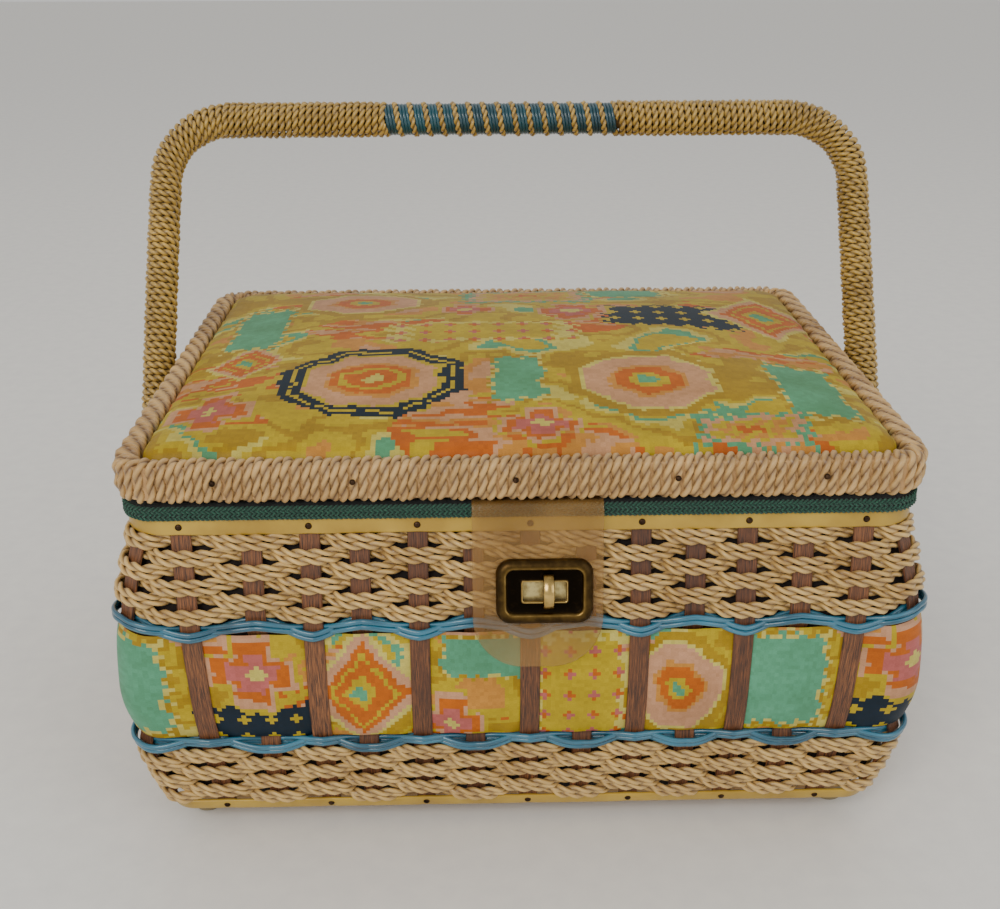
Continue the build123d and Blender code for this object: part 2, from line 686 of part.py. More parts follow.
def sleeve_lines(sign):
    """Centre lines of the wound part on one side: the arm, short lengths round the bend, and the bar."""
    lines = []
    with BuildLine(HANDLE_PLANE) as line:
        Line((sign * ARM_X, SLEEVE_START), (sign * ARM_X, BEND_START - SLEEVE_JOINT))
    lines.append(line)
    for i in range(SLEEVE_LENGTHS):
        first = bend_point(sign, i / SLEEVE_LENGTHS)
        last = bend_point(sign, (i + 1) / SLEEVE_LENGTHS - SLEEVE_JOINT / HANDLE_BEND)
        with BuildLine(HANDLE_PLANE) as line:
            RadiusArc(first, last, -sign * HANDLE_BEND)
        lines.append(line)
    with BuildLine(HANDLE_PLANE) as line:
        Line((sign * BAR_END, HANDLE_REACH), (sign * GRIP_END + GRIP_CENTRE, HANDLE_REACH))
    lines.append(line)
    return lines


def bend_point(sign, share):
    """Point on the handle's bend at a share of its quarter turn, from the arm to the bar."""
    angle = math.pi / 2 * share
    along = BAR_END + HANDLE_BEND * math.cos(angle)
    return (sign * along, BEND_START + HANDLE_BEND * math.sin(angle))


for name, sign in (("left", -1), ("right", 1)):
    with BuildPart() as handle_wrap:
        for line in sleeve_lines(sign):
            path = line.wires()[0]
            with BuildSketch(Plane(origin=path @ 0, z_dir=path % 0)) as ring:
                Circle(WRAP_RADIUS)
                Circle(CORE_RADIUS, mode=Mode.SUBTRACT)
            sweep(ring.sketch, path=path)
    handle_wrap.part.label = "handle_wrap_" + name
    export_step(handle_wrap.part, "parts/handle_wrap_" + name + ".step")

# Grip windings: two cords side by side, each one unbroken tube of biarcs.
BAR_Y = PIVOT_Y + HANDLE_REACH * math.sin(math.radians(HANDLE_TILT))
BAR_Z = PIVOT_Z + HANDLE_REACH * math.cos(math.radians(HANDLE_TILT))
WINDING_RADIUS = CORE_RADIUS + WRAP_GAP + GRIP_CORD / 2


def winding_point(angle, start):
    """A point of a winding around the bar, and its direction, for an angle in radians."""
    place = Vector(
        GRIP_CENTRE - GRIP_HALF + GRIP_PITCH * angle / (2 * math.pi),
        BAR_Y + WINDING_RADIUS * math.cos(angle + start),
        BAR_Z + WINDING_RADIUS * math.sin(angle + start),
    )
    heading = Vector(
        GRIP_PITCH / (2 * math.pi),
        -WINDING_RADIUS * math.sin(angle + start),
        WINDING_RADIUS * math.cos(angle + start),
    )
    return place, heading.normalized()


def biarc(place_a, heading_a, place_b, heading_b):
    """Two arcs that leave place_a along heading_a and reach place_b along heading_b."""
    chord = place_b - place_a
    both = heading_a + heading_b
    square = both.dot(both) - 4
    linear = -2 * chord.dot(both)
    root = math.sqrt(linear ** 2 - 4 * square * chord.dot(chord))
    reach = (-linear - root) / (2 * square)
    joint = (place_a + heading_a * reach + place_b - heading_b * reach) / 2
    TangentArc(place_a, joint, tangent=heading_a)
    TangentArc(place_b, joint, tangent=heading_b * -1)


def winding_line(start):
    """The cord's centre line, a biarc for every quarter turn."""
    quarters = GRIP_TURNS * 4
    ends = [winding_point(math.pi / 2 * i, start) for i in range(quarters + 1)]
    with BuildLine() as line:
        for (place_a, heading_a), (place_b, heading_b) in zip(ends, ends[1:]):
            biarc(place_a, heading_a, place_b, heading_b)
    return line.wires()[0]


def least_gap(start):
    """Least gap of a winding to itself, measured on points a turn or more apart."""
    per_turn = 48
    points = [winding_point(2 * math.pi * i / per_turn, start)[0] for i in range(per_turn * 4)]
    gaps = []
    for i, place in enumerate(points):
        for other in points[i + per_turn // 2:]:
            gaps.append((place - other).length - GRIP_CORD)
    return min(gaps)


for name, start in (("blue", 0.0), ("tan", math.pi)):
    with BuildPart() as grip_winding:
        path = winding_line(start)
        with BuildSketch(Plane(origin=path @ 0, z_dir=path % 0)) as cord:
            Circle(GRIP_CORD / 2)
        sweep(cord.sketch, path=path)
    grip_winding.part.label = "grip_wrap_" + name
    export_step(grip_winding.part, "parts/grip_wrap_" + name + ".step")
    print("least gap of the", name, "winding to itself:", round(least_gap(start), 2), "mm")

# Lock: every piece is drawn on a plane that leans with the weave.
LOCK_OFFSET = profile_at(LOCK_Z)[0] + WEAVE_THICKNESS
LOCK_PLANE = Plane(
    origin=(LOCK_X, -(HALF_Y + LOCK_OFFSET), LOCK_Z),
    x_dir=(1, 0, 0),
    z_dir=(0, -math.cos(math.radians(LOCK_LEAN)), math.sin(math.radians(LOCK_LEAN))),
)
BASE_OUT = LOCK_GAP + LOCK_BASE[2]
FLAP_IN = BASE_OUT + FLAP_GAP
FLAP_OUT = FLAP_IN + FLAP_THICKNESS
PLATE_OUT = FLAP_OUT + PLATE_SIZE[2]
WELL_FLOOR = PLATE_OUT - WELL_SIZE[2]
KNOB_IN = WELL_FLOOR + KNOB_GAP
KNOB_OUT = KNOB_IN + KNOB_ARCH


def lock_sketch(height):
    """A plane parallel to the lock's plane, a height in front of the weave."""
    return LOCK_PLANE.offset(height)


def world_point(up, out):
    """Place (Y, Z) of a point of the strap's section, given along and off the lock's plane."""
    place = LOCK_PLANE.from_local_coords((0, up, out))
    return place.Y, place.Z


with BuildPart() as lock_base:
    with BuildSketch(lock_sketch(LOCK_GAP)) as base_shape:
        RectangleRounded(LOCK_BASE[0], LOCK_BASE[1], LOCK_BASE_CORNER)
    extrude(base_shape.sketch, amount=LOCK_BASE[2])
    with BuildSketch(lock_sketch(BASE_OUT)) as post_shape:
        Circle(POST_RADIUS)
    extrude(post_shape.sketch, amount=KNOB_OUT - POST_SUNK - BASE_OUT)
lock_base.part.label = "lock_base"
export_step(lock_base.part, "parts/lock_base.step")

with BuildPart() as turn_knob:
    with BuildSketch(Plane(LOCK_PLANE.origin, x_dir=LOCK_PLANE.y_dir, z_dir=LOCK_PLANE.x_dir)) as arch:
        with BuildLine():
            ThreePointArc((-KNOB_LENGTH / 2, KNOB_IN), (0, KNOB_OUT), (KNOB_LENGTH / 2, KNOB_IN))
            Line((KNOB_LENGTH / 2, KNOB_IN), (KNOB_LENGTH / 2 - KNOB_STRAP, KNOB_IN))
            ThreePointArc(
                (KNOB_LENGTH / 2 - KNOB_STRAP, KNOB_IN),
                (0, KNOB_OUT - KNOB_STRAP),
                (KNOB_STRAP - KNOB_LENGTH / 2, KNOB_IN),
            )
            Line((KNOB_STRAP - KNOB_LENGTH / 2, KNOB_IN), (-KNOB_LENGTH / 2, KNOB_IN))
        make_face()
    extrude(arch.sketch, amount=KNOB_WIDTH / 2, both=True)
    with BuildSketch(lock_sketch(KNOB_IN)) as hub:
        Circle(KNOB_HUB_RADIUS)
    extrude(hub.sketch, amount=KNOB_ARCH - KNOB_STRAP)
    with BuildSketch(lock_sketch(KNOB_IN - LOCK_CUT)) as bore:
        Circle(POST_RADIUS + KNOB_CLEARANCE)
    extrude(bore.sketch, amount=KNOB_ARCH + 2 * LOCK_CUT, mode=Mode.SUBTRACT)
turn_knob.part.label = "turn_knob"
export_step(turn_knob.part, "parts/turn_knob.step")

with BuildPart() as clasp_plate:
    with BuildSketch(lock_sketch(FLAP_OUT)) as plate_shape:
        with Locations((PLATE_SHIFT, 0)):
            RectangleRounded(PLATE_SIZE[0], PLATE_SIZE[1], PLATE_CORNER)
    extrude(plate_shape.sketch, amount=PLATE_SIZE[2])
    outward = Axis(LOCK_PLANE.origin, LOCK_PLANE.z_dir)
    fillet(clasp_plate.faces().sort_by(outward)[-1].edges(), PLATE_FILLET)
    with BuildSketch(lock_sketch(WELL_FLOOR)) as well:
        with Locations((PLATE_SHIFT, 0)):
            RectangleRounded(WELL_SIZE[0], WELL_SIZE[1], WELL_CORNER)
    extrude(well.sketch, amount=WELL_SIZE[2] + LOCK_CUT, mode=Mode.SUBTRACT)
    with BuildSketch(lock_sketch(FLAP_OUT - LOCK_CUT)) as slot:
        with Locations((PLATE_SHIFT, 0)):
            Rectangle(SLOT_SIZE[0], SLOT_SIZE[1])
    extrude(slot.sketch, amount=PLATE_SIZE[2] + 2 * LOCK_CUT, mode=Mode.SUBTRACT)
clasp_plate.part.label = "clasp_plate"
export_step(clasp_plate.part, "parts/clasp_plate.step")

with BuildPart() as clasp_flap:
    fold_in = (-FLAP_FOLD_Y, LID_BOTTOM - FLAP_THICKNESS)
    fold_out = (-FLAP_FOLD_Y - FLAP_THICKNESS, LID_BOTTOM)
    flap_middle = LOCK_X + FLAP_SHIFT
    with BuildSketch(Plane(origin=(flap_middle, 0, 0), x_dir=(0, 1, 0), z_dir=(1, 0, 0))) as section:
        with BuildLine():
            Polyline(
                world_point(-FLAP_REACH, FLAP_IN),
                world_point(FLAP_BEND, FLAP_IN),
                fold_in,
                (-FLAP_TAB_Y, LID_BOTTOM - FLAP_THICKNESS),
                (-FLAP_TAB_Y, LID_BOTTOM),
                fold_out,
                world_point(FLAP_BEND, FLAP_OUT),
                world_point(-FLAP_REACH, FLAP_OUT),
                close=True,
            )
        make_face()
    extrude(section.sketch, amount=FLAP_WIDTH / 2, both=True)
    with BuildSketch(lock_sketch(FLAP_IN - LOCK_CUT)) as cut:
        with Locations((FLAP_SHIFT, -FLAP_REACH)):
            Rectangle(FLAP_WIDTH + 2 * LOCK_CUT, 2 * FLAP_CORNER)
        with Locations((FLAP_SHIFT, FLAP_REACH / 2)):
            RectangleRounded(FLAP_WIDTH, 3 * FLAP_REACH, FLAP_CORNER, mode=Mode.SUBTRACT)
    extrude(cut.sketch, amount=FLAP_THICKNESS + 2 * LOCK_CUT, mode=Mode.SUBTRACT)
    with BuildSketch(lock_sketch(FLAP_IN - LOCK_CUT)) as opening:
        with Locations((PLATE_SHIFT, 0)):
            Rectangle(SLOT_SIZE[0], SLOT_SIZE[1])
    extrude(opening.sketch, amount=FLAP_THICKNESS + 2 * LOCK_CUT, mode=Mode.SUBTRACT)
    for sign in (-1, 1):
        with Locations((flap_middle + sign * STRAP_TACK_X, -STRAP_TACK_Y, LID_BOTTOM)):
            Cylinder(STRAP_HOLE[0], STRAP_HOLE[1], mode=Mode.SUBTRACT)
clasp_flap.part.label = "clasp_flap"
export_step(clasp_flap.part, "parts/clasp_flap.step")

with BuildPart() as strap_tacks:
    for sign in (-1, 1):
        tack_x = LOCK_X + FLAP_SHIFT + sign * STRAP_TACK_X
        head_low = LID_BOTTOM - FLAP_THICKNESS - STRAP_TACK_HEAD[1]
        with Locations((tack_x, -STRAP_TACK_Y, head_low + STRAP_TACK_HEAD[1] / 2)):
            Cylinder(STRAP_TACK_HEAD[0], STRAP_TACK_HEAD[1])
        with Locations((tack_x, -STRAP_TACK_Y, head_low + STRAP_TACK_SHANK[1] / 2)):
            Cylinder(STRAP_TACK_SHANK[0], STRAP_TACK_SHANK[1])
strap_tacks.part.label = "strap_tacks"
export_step(strap_tacks.part, "parts/strap_tacks.step")
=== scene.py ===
"""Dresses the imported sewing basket: woven cords, twined cane, printed cloth, brass lock and wound handle.
All sizes are millimetres, turned into metres where a mesh is made."""

import math

import bpy
import numpy as np
from mathutils import Matrix, Vector


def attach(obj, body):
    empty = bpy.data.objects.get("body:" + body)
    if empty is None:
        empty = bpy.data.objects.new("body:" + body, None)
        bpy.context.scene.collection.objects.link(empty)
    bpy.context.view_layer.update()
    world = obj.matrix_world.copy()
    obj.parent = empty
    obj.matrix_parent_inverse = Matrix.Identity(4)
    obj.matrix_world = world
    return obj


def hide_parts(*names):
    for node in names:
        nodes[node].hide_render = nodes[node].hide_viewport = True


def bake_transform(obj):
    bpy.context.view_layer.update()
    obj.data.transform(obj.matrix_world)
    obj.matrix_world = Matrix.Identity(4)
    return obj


MM = 0.001
PI = math.pi

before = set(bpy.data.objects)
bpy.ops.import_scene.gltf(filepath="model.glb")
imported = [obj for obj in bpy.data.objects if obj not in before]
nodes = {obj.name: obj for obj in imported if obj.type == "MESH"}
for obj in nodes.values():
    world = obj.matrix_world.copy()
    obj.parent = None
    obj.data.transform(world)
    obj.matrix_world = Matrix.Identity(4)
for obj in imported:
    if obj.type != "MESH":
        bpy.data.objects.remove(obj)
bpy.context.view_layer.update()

# Sizes shared with the CAD source. The wall's outer face is given by height: its offset from the lid's
# outline and its corner radius.
HALF_X = 159.0
HALF_Y = 119.35
PROFILE_Z = [10.3, 20.0, 40.0, 46.0, 70.0, 100.0, 111.0, 130.0, 145.5, 152.0]
PROFILE_OFFSET = [-8.3, -3.5, 1.0, 2.5, 7.0, 6.5, 5.0, 0.5, -4.0, -5.0]
PROFILE_RADIUS = [10.9, 12.0, 14.0, 15.0, 17.0, 20.0, 21.0, 18.5, 16.0, 15.5]
STAKE_PITCH = 44.8
STAKE_WIDTH = 8.0
STAKE_THICKNESS = 1.5
STAKE_COUNT = 48
FRONT_STAKES = [-133.0, -106.0, -83.2, -63.9, -41.2, -19.5, 2.8, 24.8, 46.4, 68.0, 88.3, 110.6, 134.0]
LOWER_TWINING = (49.0, 55.6)
UPPER_TWINING = (101.5, 111.0)
WEAVE_LOW = (16.2, 49.0)
WEAVE_HIGH = (111.0, 145.5)
BASE_STRIP = (10.3, 16.2)
FLOOR_TOP = 15.8
RIM_STRIP = (145.5, 152.0)
BRAID = (152.0, 157.6)
LID_BOTTOM = 159.0
RIM_TOP = 176.5
RIM_WIDTH = 10.5
RIM_RADIUS = 16.0
PIVOT_Z = 137.0
HANDLE_TILT = math.radians(30.0)
ARM_X = 170.0
HANDLE_REACH = 158.0
HANDLE_BEND = 31.0
WINDING_START = 12.0
GRIP_HALF = 57.6
GRIP_CENTRE = -4.0
GRIP_PITCH = 7.2
GRIP_TURNS = 16
LOCK_X = 9.5
LOCK_Z = 124.0
LOCK_LEAN = math.atan(4.5 / 19.0)
LOCK_Y = -124.27

# The radius of one of a cord's two plies, as a share of the cord's: the larger, the shallower the grooves.
WOVEN_PLY = 0.55
WOUND_PLY = 0.61
PLY_ANGLES = np.radians([0, 35, 65, 90, 115, 145, 180, 215, 245, 270, 295, 325])
CORD_END = 0.05
CANE_SIDES = 10
CANE_STREAK = 0.6
STRIP_SIDES = 8


# Meshes.
def build(name, mesh_parts, body, material, replaces=(), smooth=True, kind="cord"):
    """A piece riding on a body, from points in millimetres, faces of four corners and, where its material
    reads any, the values of the attribute named kind."""
    points, faces, own = mesh_parts if len(mesh_parts) == 3 else (*mesh_parts, None)
    points = np.asarray(points, np.float32).reshape(-1, 3) * MM
    faces = np.asarray(faces, np.int32)
    mesh = bpy.data.meshes.new(name)
    mesh.vertices.add(len(points))
    mesh.vertices.foreach_set("co", points.ravel())
    mesh.loops.add(faces.size)
    mesh.loops.foreach_set("vertex_index", faces.ravel())
    mesh.polygons.add(len(faces))
    mesh.polygons.foreach_set("loop_start", np.arange(len(faces), dtype=np.int32) * faces.shape[1])
    mesh.update(calc_edges=True)
    mesh.polygons.foreach_set("use_smooth", np.full(len(faces), smooth))
    if own is not None:
        attribute = mesh.attributes.new(kind, "FLOAT_VECTOR", "POINT")
        attribute.data.foreach_set("vector", np.asarray(own, np.float32).ravel())
    mesh.materials.append(material)
    piece = bpy.data.objects.new(name, mesh)
    bpy.context.scene.collection.objects.link(piece)
    if body:
        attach(piece, body)
    if replaces:
        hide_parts(*replaces)
    return piece


def grid_faces(rows, columns, closed_rows=False, closed_columns=True):
    """Quads over a grid of points, row after row."""
    last_row = rows if closed_rows else rows - 1
    last_column = columns if closed_columns else columns - 1
    i, j = np.meshgrid(np.arange(last_row), np.arange(last_column), indexing="ij")
    i2, j2 = (i + 1) % rows, (j + 1) % columns
    quads = np.stack([i * columns + j, i * columns + j2, i2 * columns + j2, i2 * columns + j], axis=-1)
    return quads.reshape(-1, 4)


def unit(vectors):
    """Vectors of length one."""
    return vectors / np.maximum(np.linalg.norm(vectors, axis=-1, keepdims=True), 1e-9)


def directions(path, closed):
    """The direction of a path at each point."""
    if closed:
        return unit(np.roll(path, -1, axis=0) - np.roll(path, 1, axis=0))
    return unit(np.gradient(path, axis=0))


def lengths(path):
    """Length of the path up to each point."""
    steps = np.linalg.norm(np.diff(path, axis=0), axis=1)
    return np.concatenate([[0.0], np.cumsum(steps)])


def sweep(path, side, section, closed, turn=None, taper=None):
    """Points of a section carried along a path. The section is (across, along side) in its own plane."""
    ahead = directions(path, closed)
    out = unit(side - ahead * np.sum(side * ahead, axis=1, keepdims=True))
    across = np.cross(ahead, out)
    section = np.broadcast_to(section, (len(path),) + section.shape[-2:]).copy()
    if taper is not None:
        section *= taper[:, None, None]
    if turn is not None:
        cos, sin = np.cos(turn)[:, None], np.sin(turn)[:, None]
        x, y = section[..., 0].copy(), section[..., 1].copy()
        section[..., 0] = x * cos - y * sin
        section[..., 1] = x * sin + y * cos
    return path[:, None] + section[..., :1] * across[:, None] + section[..., 1:] * out[:, None]


def ply_section(radius, ply):
    """Outline of two round plies lying side by side, and how far out of the groove each point lies."""
    angle, shift = PLY_ANGLES, 1 - ply
    size = shift * np.abs(np.cos(angle)) + np.sqrt(ply ** 2 - (shift * np.sin(angle)) ** 2)
    low = math.sqrt(ply ** 2 - shift ** 2)
    crest = (size - low) / (1 - low)
    return radius * np.stack([size * np.cos(angle), size * np.sin(angle)], axis=-1), angle, crest


def twisted_cord(path, side, radius, pitch, closed=True, phase=0.0, ply=WOVEN_PLY):
    """A two-ply cord: points, faces and the cord's own coordinates for its material."""
    outline, angle, groove = ply_section(radius, ply)
    sides = len(angle)
    along = lengths(path)
    total = along[-1] + (np.linalg.norm(path[0] - path[-1]) if closed else 0.0)
    turns = total / pitch
    if closed:
        turns = round(turns * 2) / 2
    turn = phase - 2 * PI * turns * along / total
    taper = None
    if not closed:
        taper = np.ones(len(path))
        taper[[0, -1]] = CORD_END
        taper[[1, -2]] = 0.75
    points = sweep(path, side, outline, closed, turn, taper)
    own = np.zeros(points.shape)
    own[..., 0] = along[:, None] + phase * 37.0
    own[..., 1] = angle[None, :] * radius
    # The third value, 1 on a ply's crest and 0 in the groove, sets how much painted groove shade the cord
    # materials lay on.
    own[..., 2] = groove[None, :]
    if closed and round(turns * 2) % 2:
        return points, half_turn_faces(len(path), sides), own
    return points, grid_faces(len(path), sides, closed), own


def half_turn_faces(rows, sides):
    """Faces of a closed cord whose twist ends half a turn on, so the last ring meets the first rotated."""
    faces = grid_faces(rows, sides, True).reshape(rows, sides, 4)
    faces[-1, :, 2:] = (faces[-1, :, 2:] + sides // 2) % sides
    return faces.reshape(-1, 4)


def joined(parts):
    """Several (points, faces, own) as one."""
    points = [part[0].reshape(-1, 3) for part in parts]
    starts = np.cumsum([0] + [len(some) for some in points])
    faces = [part[1] + start for part, start in zip(parts, starts)]
    own = [part[2].reshape(-1, 3) for part in parts]
    return np.concatenate(points), np.concatenate(faces), np.concatenate(own)


def cane(path, side, outline, closed, streak, taper=None):
    """A round cane along a path; streak sets its material's streaks apart from its neighbours'."""
    points = sweep(path, side, outline, closed, None, taper)
    own = np.zeros(points.shape)
    own[..., 0] = lengths(path)[:, None]
    own[..., 1] = (np.arange(CANE_SIDES) * CANE_STREAK)[None, :] + streak
    return points, grid_faces(len(path), CANE_SIDES, closed), own


def oval(width, height):
    """Outline of a flattened round cane, (across, outwards)."""
    angle = np.arange(CANE_SIDES) * 2 * PI / CANE_SIDES
    return np.stack([width / 2 * np.cos(angle), height / 2 * np.sin(angle)], axis=-1)


def bevelled(width, height, edge):
    """Outline of a flat strip with broken edges."""
    w, h = width / 2, height / 2
    corners = [(w, -h + edge), (w, h - edge), (w - edge, h), (edge - w, h)]
    corners += [(-w, h - edge), (-w, edge - h), (edge - w, -h), (w - edge, -h)]
    return np.array(corners)


# The wall.
SMOOTHING = (-6.0, -3.0, 0.0, 3.0, 6.0)
STAKE_LEAN = 0.035
ROW_WAVES = (5, 9, 14, 23)


def loop(half_x, half_y, radius, place):
    """Points and outward directions on a rounded rectangle; place runs from the middle of the front."""
    a, b, arc = half_x - radius, half_y - radius, PI * radius / 2
    marks = np.cumsum([0.0, a, arc, 2 * b, arc, 2 * a, arc, 2 * b, arc, a])
    place = np.mod(place, marks[-1])
    which = np.clip(np.searchsorted(marks, place, side="right") - 1, 0, 8)
    into = place - marks[which]
    start = np.array([-90, -90, 0, 0, 90, 90, 180, 180, 270])[which] * PI / 180
    corner = which % 2 == 1
    turn = np.where(corner, start + into / radius, start)
    centre_x = np.array([0, a, half_x, a, a, -a, -half_x, -a, -a])[which]
    centre_y = np.array([-half_y, -b, -b, b, half_y, b, b, -b, -half_y])[which]
    nx, ny = np.cos(turn), np.sin(turn)
    x = np.where(corner, centre_x + radius * nx, centre_x - ny * into)
    y = np.where(corner, centre_y + radius * ny, centre_y + nx * into)
    return x, y, nx, ny


def profile(height):
    """Offset of the front stakes' outer face from the lid outline, corner radius and slope, smoothed."""
    near = [height + step for step in SMOOTHING]
    offsets = [np.interp(z, PROFILE_Z, PROFILE_OFFSET) for z in near]
    radii = [np.interp(z, PROFILE_Z, PROFILE_RADIUS) for z in near]
    slope = (offsets[-1] - offsets[0]) / (SMOOTHING[-1] - SMOOTHING[0])
    return sum(offsets) / len(near), sum(radii) / len(near), slope


def stake_marks(height, half_x, half_y, radius):
    """Place of every stake around the loop, from the front's middle stake round to itself. The outer ones
    lean in towards the foot."""
    a, b, arc = half_x - radius, half_y - radius, PI * radius / 2
    lean = STAKE_LEAN * (140.0 - height) / 100.0
    front = [x * (1 - lean * abs(x / FRONT_STAKES[-1]) ** 3) for x in FRONT_STAKES]
    across = [STAKE_PITCH / 2 * i * (1 - lean * abs(i / 4) ** 3) for i in range(-4, 5)]
    back = [STAKE_PITCH / 2 * i * (1 - lean * abs(i / 6) ** 3) for i in range(-6, 7)]
    marks = front[6:] + [a + arc / 2]
    start = a + arc + b
    for side, half, next_half in ((across, b, a), (back, a, b), (across, b, a)):
        marks += [start + place for place in side] + [start + half + arc / 2]
        start += half + arc + next_half
    return np.array(marks + [start + x for x in front[:7]])


def wall(height, phase, out=0.0, rise=0.0):
    """Points on the wall at a height: phase counts stakes, out is off the front stakes' outer face."""
    offset, radius, slope = profile(height)
    half_x, half_y = HALF_X + offset, HALF_Y + offset
    marks = stake_marks(height, half_x, half_y, radius)
    place = np.interp(np.mod(phase, STAKE_COUNT), np.arange(STAKE_COUNT + 1), marks)
    x, y, nx, ny = loop(half_x, half_y, radius, place)
    reach = out + slope * rise
    points = np.stack([x + nx * reach, y + ny * reach, height + rise + 0 * x], axis=-1)
    normals = np.stack([nx, ny, 0 * nx], axis=-1)
    return points, normals, place


def wander(phase, seed, size):
    """A slow uneven drift along a row, the same every run."""
    drift = np.zeros_like(phase)
    for i, turns in enumerate(ROW_WAVES):
        drift += np.sin(2 * PI * turns * phase / STAKE_COUNT + seed * (1.7 + i) + i) / (1 + 0.4 * i)
    return size * drift / 2.2


# Materials.
BLACK = (0, 0, 0)
WHITE = (255, 255, 255)


class Finish:
    """A material under construction: each call adds a node and returns its output."""

    def __init__(self, name, **settings):
        self.material = bpy.data.materials.new(name)
        self.material.use_nodes = True
        self.tree = self.material.node_tree
        self.shader = self.tree.nodes["Principled BSDF"]
        for key, value in settings.items():
            self.set(key.replace("_", " "), value)

    def set(self, socket, value):
        """Sets a constant on the shader, or links an output to it."""
        target = self.shader.inputs[socket]
        if isinstance(value, bpy.types.NodeSocket):
            self.tree.links.new(value, target)
        else:
            target.default_value = value

    def done(self, colour, rough, normal):
        """Links the last three outputs and gives the material."""
        self.set("Base Color", colour)
        if rough:
            self.set("Roughness", rough)
        self.set("Normal", normal)
        return self.material

    def node(self, kind, inputs, output=0, **settings):
        made = self.tree.nodes.new(kind)
        for key, value in settings.items():
            setattr(made, key, value)
        for key, value in inputs.items():
            if isinstance(value, bpy.types.NodeSocket):
                self.tree.links.new(value, made.inputs[key])
            elif value is not None:
                made.inputs[key].default_value = value
        return made.outputs[output]

    def math(self, operation, a, b=None):
        return self.node("ShaderNodeMath", {0: a, 1: b}, operation=operation)

    def rise(self, value, factor, start):
        """start + factor * value"""
        return self.math("ADD", self.math("MULTIPLY", value, factor), start)

    def blend(self, a, b, share=0.6):
        """The first value by its share and the second by the rest."""
        return self.math("ADD", self.math("MULTIPLY", a, share), self.math("MULTIPLY", b, 1 - share))

    def vector(self, operation, a, b=None):
        return self.node("ShaderNodeVectorMath", {0: a, 1: b}, operation=operation)

    def place(self):
        return self.node("ShaderNodeTexCoord", {}, "Object")

    def own(self, kind):
        return self.node("ShaderNodeAttribute", {}, "Vector", attribute_name=kind)

    def split(self, vector):
        made = self.tree.nodes.new("ShaderNodeSeparateXYZ")
        self.tree.links.new(vector, made.inputs[0])
        return made.outputs[0], made.outputs[1], made.outputs[2]

    def join(self, x, y, z=0.0):
        return self.node("ShaderNodeCombineXYZ", {0: x, 1: y, 2: z})

    def stretch(self, vector, scale):
        return self.vector("MULTIPLY", vector, scale)

    def noise(self, vector, scale, detail=3.0, rough=0.55):
        inputs = {"Vector": vector, "Scale": scale, "Detail": detail, "Roughness": rough}
        return self.node("ShaderNodeTexNoise", inputs, "Fac")

    def ramp(self, value, stops, sharp=False):
        made = self.tree.nodes.new("ShaderNodeValToRGB")
        scale = made.color_ramp
        scale.interpolation = "CONSTANT" if sharp else "LINEAR"
        while len(scale.elements) < len(stops):
            scale.elements.new(0.5)
        for element, (where, colour) in zip(scale.elements, stops):
            element.position = where
            element.color = rgb(colour)
        self.tree.links.new(value, made.inputs[0])
        return made.outputs[0]

    def mix(self, share, a, b, blend="MIX"):
        made = self.tree.nodes.new("ShaderNodeMix")
        made.data_type = "RGBA"
        made.blend_type = blend
        for key, value in ((0, share), (6, a), (7, b)):
            if isinstance(value, bpy.types.NodeSocket):
                self.tree.links.new(value, made.inputs[key])
            else:
                made.inputs[key].default_value = rgb(value) if key else value
        return made.outputs[2]

    def bump(self, height, distance, strength=1.0, base=None):
        inputs = {"Height": height, "Distance": distance * MM, "Strength": strength}
        if base is not None:
            inputs["Normal"] = base
        return self.node("ShaderNodeBump", inputs)


def rgb(colour):
    """A colour given as 0-255 values, in linear light."""
    linear = [((c / 255 + 0.055) / 1.055) ** 2.4 if c > 10 else c / 255 / 12.92 for c in colour]
    return (*linear, 1.0)


def cord_finish(name, light, dark, groove, coat=0.3, rough=0.42):
    """Twisted paper cord: colour drifts along it, fibres run with the ply and the ply grooves get painted
    shade in the groove colour.
    """
    f = Finish(name, Coat_Weight=coat, Coat_Roughness=0.3, Sheen_Weight=0.1, IOR=1.5)
    own = f.own("cord")
    groove_shade_mask = f.split(own)[2]
    drift = f.noise(f.place(), 42.0, 2.0)
    fibre = f.noise(f.stretch(own, (0.3, 3.4, 0.0)), 1.0, 4.0, 0.65)
    tone = f.blend(drift, fibre)
    pale = tuple(min(255, int(c * 1.09)) for c in light)
    body = f.ramp(tone, [(0.34, dark), (0.52, light), (0.68, pale)])
    # Painted shade: the cord darkens to the groove colour towards its ply grooves.
    colour = f.mix(f.math("POWER", groove_shade_mask, 0.7), groove, body)
    patch = f.noise(f.stretch(own, (0.5, 1.2, 0.0)), 1.0, 2.0)
    return f.done(colour, f.rise(patch, 0.34, rough - 0.17), f.bump(fibre, 0.1, 0.6))


def cane_finish(name, light, dark):
    """Glossy dyed cane with fine streaks along it."""
    f = Finish(name, Coat_Weight=0.6, Coat_Roughness=0.12, IOR=1.5)
    own = f.own("cord")
    streak = f.noise(f.stretch(own, (0.05, 3.2, 0.0)), 1.0, 3.0, 0.7)
    drift = f.noise(f.place(), 30.0, 2.0)
    tone = f.blend(streak, drift)
    colour = f.ramp(tone, [(0.36, dark), (0.6, light)])
    return f.done(colour, f.rise(streak, 0.2, 0.22), f.bump(streak, 0.12, 0.7))


